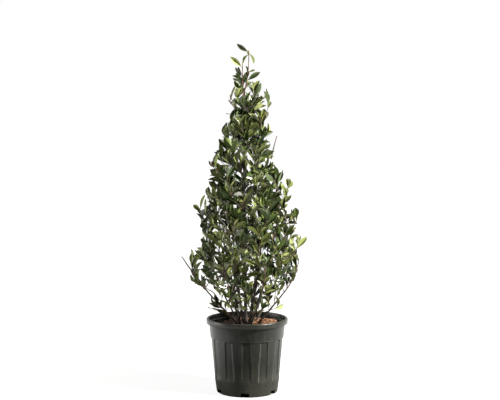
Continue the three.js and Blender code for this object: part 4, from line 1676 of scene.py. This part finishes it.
class PHOTINIA_OT_stage(bpy.types.Operator):
    """Set up the pale floor, the soft light and the camera"""

    bl_idname = "photinia.stage"
    bl_label = "Studio"

    def execute(self, context):
        scene = context.scene
        looks = scene.photinia_studio
        nothing_selected()
        bpy.ops.mesh.primitive_plane_add(size=60)
        floor = bpy.context.object
        floor.name = "studio_floor"
        floor.data.materials.append(floor_finish(tuple(looks.floor)))
        floor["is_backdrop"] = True
        scene.world = bpy.data.worlds.new("studio")
        scene.world.use_nodes = True
        sky = Nodes(scene.world.node_tree)
        toward = sky.node("SeparateXYZ", "Y", {"Vector": sky.node("TexCoord", "Generated")})
        behind = sky.span(toward, looks.surround, looks.backdrop, *BACKDROP_SPAN)
        white = sky.span(sky.node("LightPath", "Is Camera Ray"), behind, 1, 0, 1)
        sky.feed(sky.tree.nodes["Background"], {"Color": (1, 1, 1, 1), "Strength": white})
        soft_light("key_light", *KEY_LAMP, looks.key_power)
        soft_light("fill_light", *FILL_LAMP, looks.fill_power)
        scene.view_settings.view_transform = "Standard"
        lens = bpy.data.cameras.new("camera")
        lens.lens = looks.lens
        lens.sensor_width = 36
        lens.clip_end = 100
        camera = bpy.data.objects.new("camera", lens)
        camera.location = (looks.aside, -looks.distance, looks.height)
        camera.rotation_euler = (math.pi / 2 - looks.pitch, 0, 0)
        scene.collection.objects.link(camera)
        scene.camera = camera
        return {"FINISHED"}


GROUPS = {
    "photinia_leaves": PhotiniaLeaves,
    "photinia_pot": PhotiniaPot,
    "photinia_studio": PhotiniaStudio,
}
OPERATORS = (
    PHOTINIA_OT_stage, PHOTINIA_OT_pot, PHOTINIA_OT_soil, PHOTINIA_OT_mulch,
    PHOTINIA_OT_bark, PHOTINIA_OT_twigs, PHOTINIA_OT_buds, PHOTINIA_OT_leaves,
)


class PHOTINIA_PT_panel(bpy.types.Panel):
    bl_label = "Photinia"
    bl_idname = "PHOTINIA_PT_panel"
    bl_space_type = "VIEW_3D"
    bl_region_type = "UI"
    bl_category = "Photinia"

    def draw(self, context):
        for operator in OPERATORS:
            self.layout.operator(operator.bl_idname)
        for group in GROUPS:
            box = self.layout.box()
            values = getattr(context.scene, group)
            for name in GROUPS[group].__annotations__:
                box.prop(values, name)


CLASSES = (*GROUPS.values(), *OPERATORS, PHOTINIA_PT_panel)


def register():
    for made in CLASSES:
        bpy.utils.register_class(made)
    for name, group in GROUPS.items():
        setattr(bpy.types.Scene, name, bpy.props.PointerProperty(type=group))


def unregister():
    for name in GROUPS:
        delattr(bpy.types.Scene, name)
    for made in reversed(CLASSES):
        bpy.utils.unregister_class(made)


def main():
    register()
    bpy.ops.photinia.stage()
    bpy.ops.photinia.pot()
    bpy.ops.photinia.soil()
    bpy.ops.photinia.mulch()
    bpy.ops.photinia.bark()
    bpy.ops.photinia.twigs()
    bpy.ops.photinia.buds()
    bpy.ops.photinia.leaves()
    boxes = {"cad": CAD_BOX, "visual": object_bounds()}
    {name: [list(corner) for corner in box] for name, box in boxes.items()}


if __name__ == "__main__":
    main()
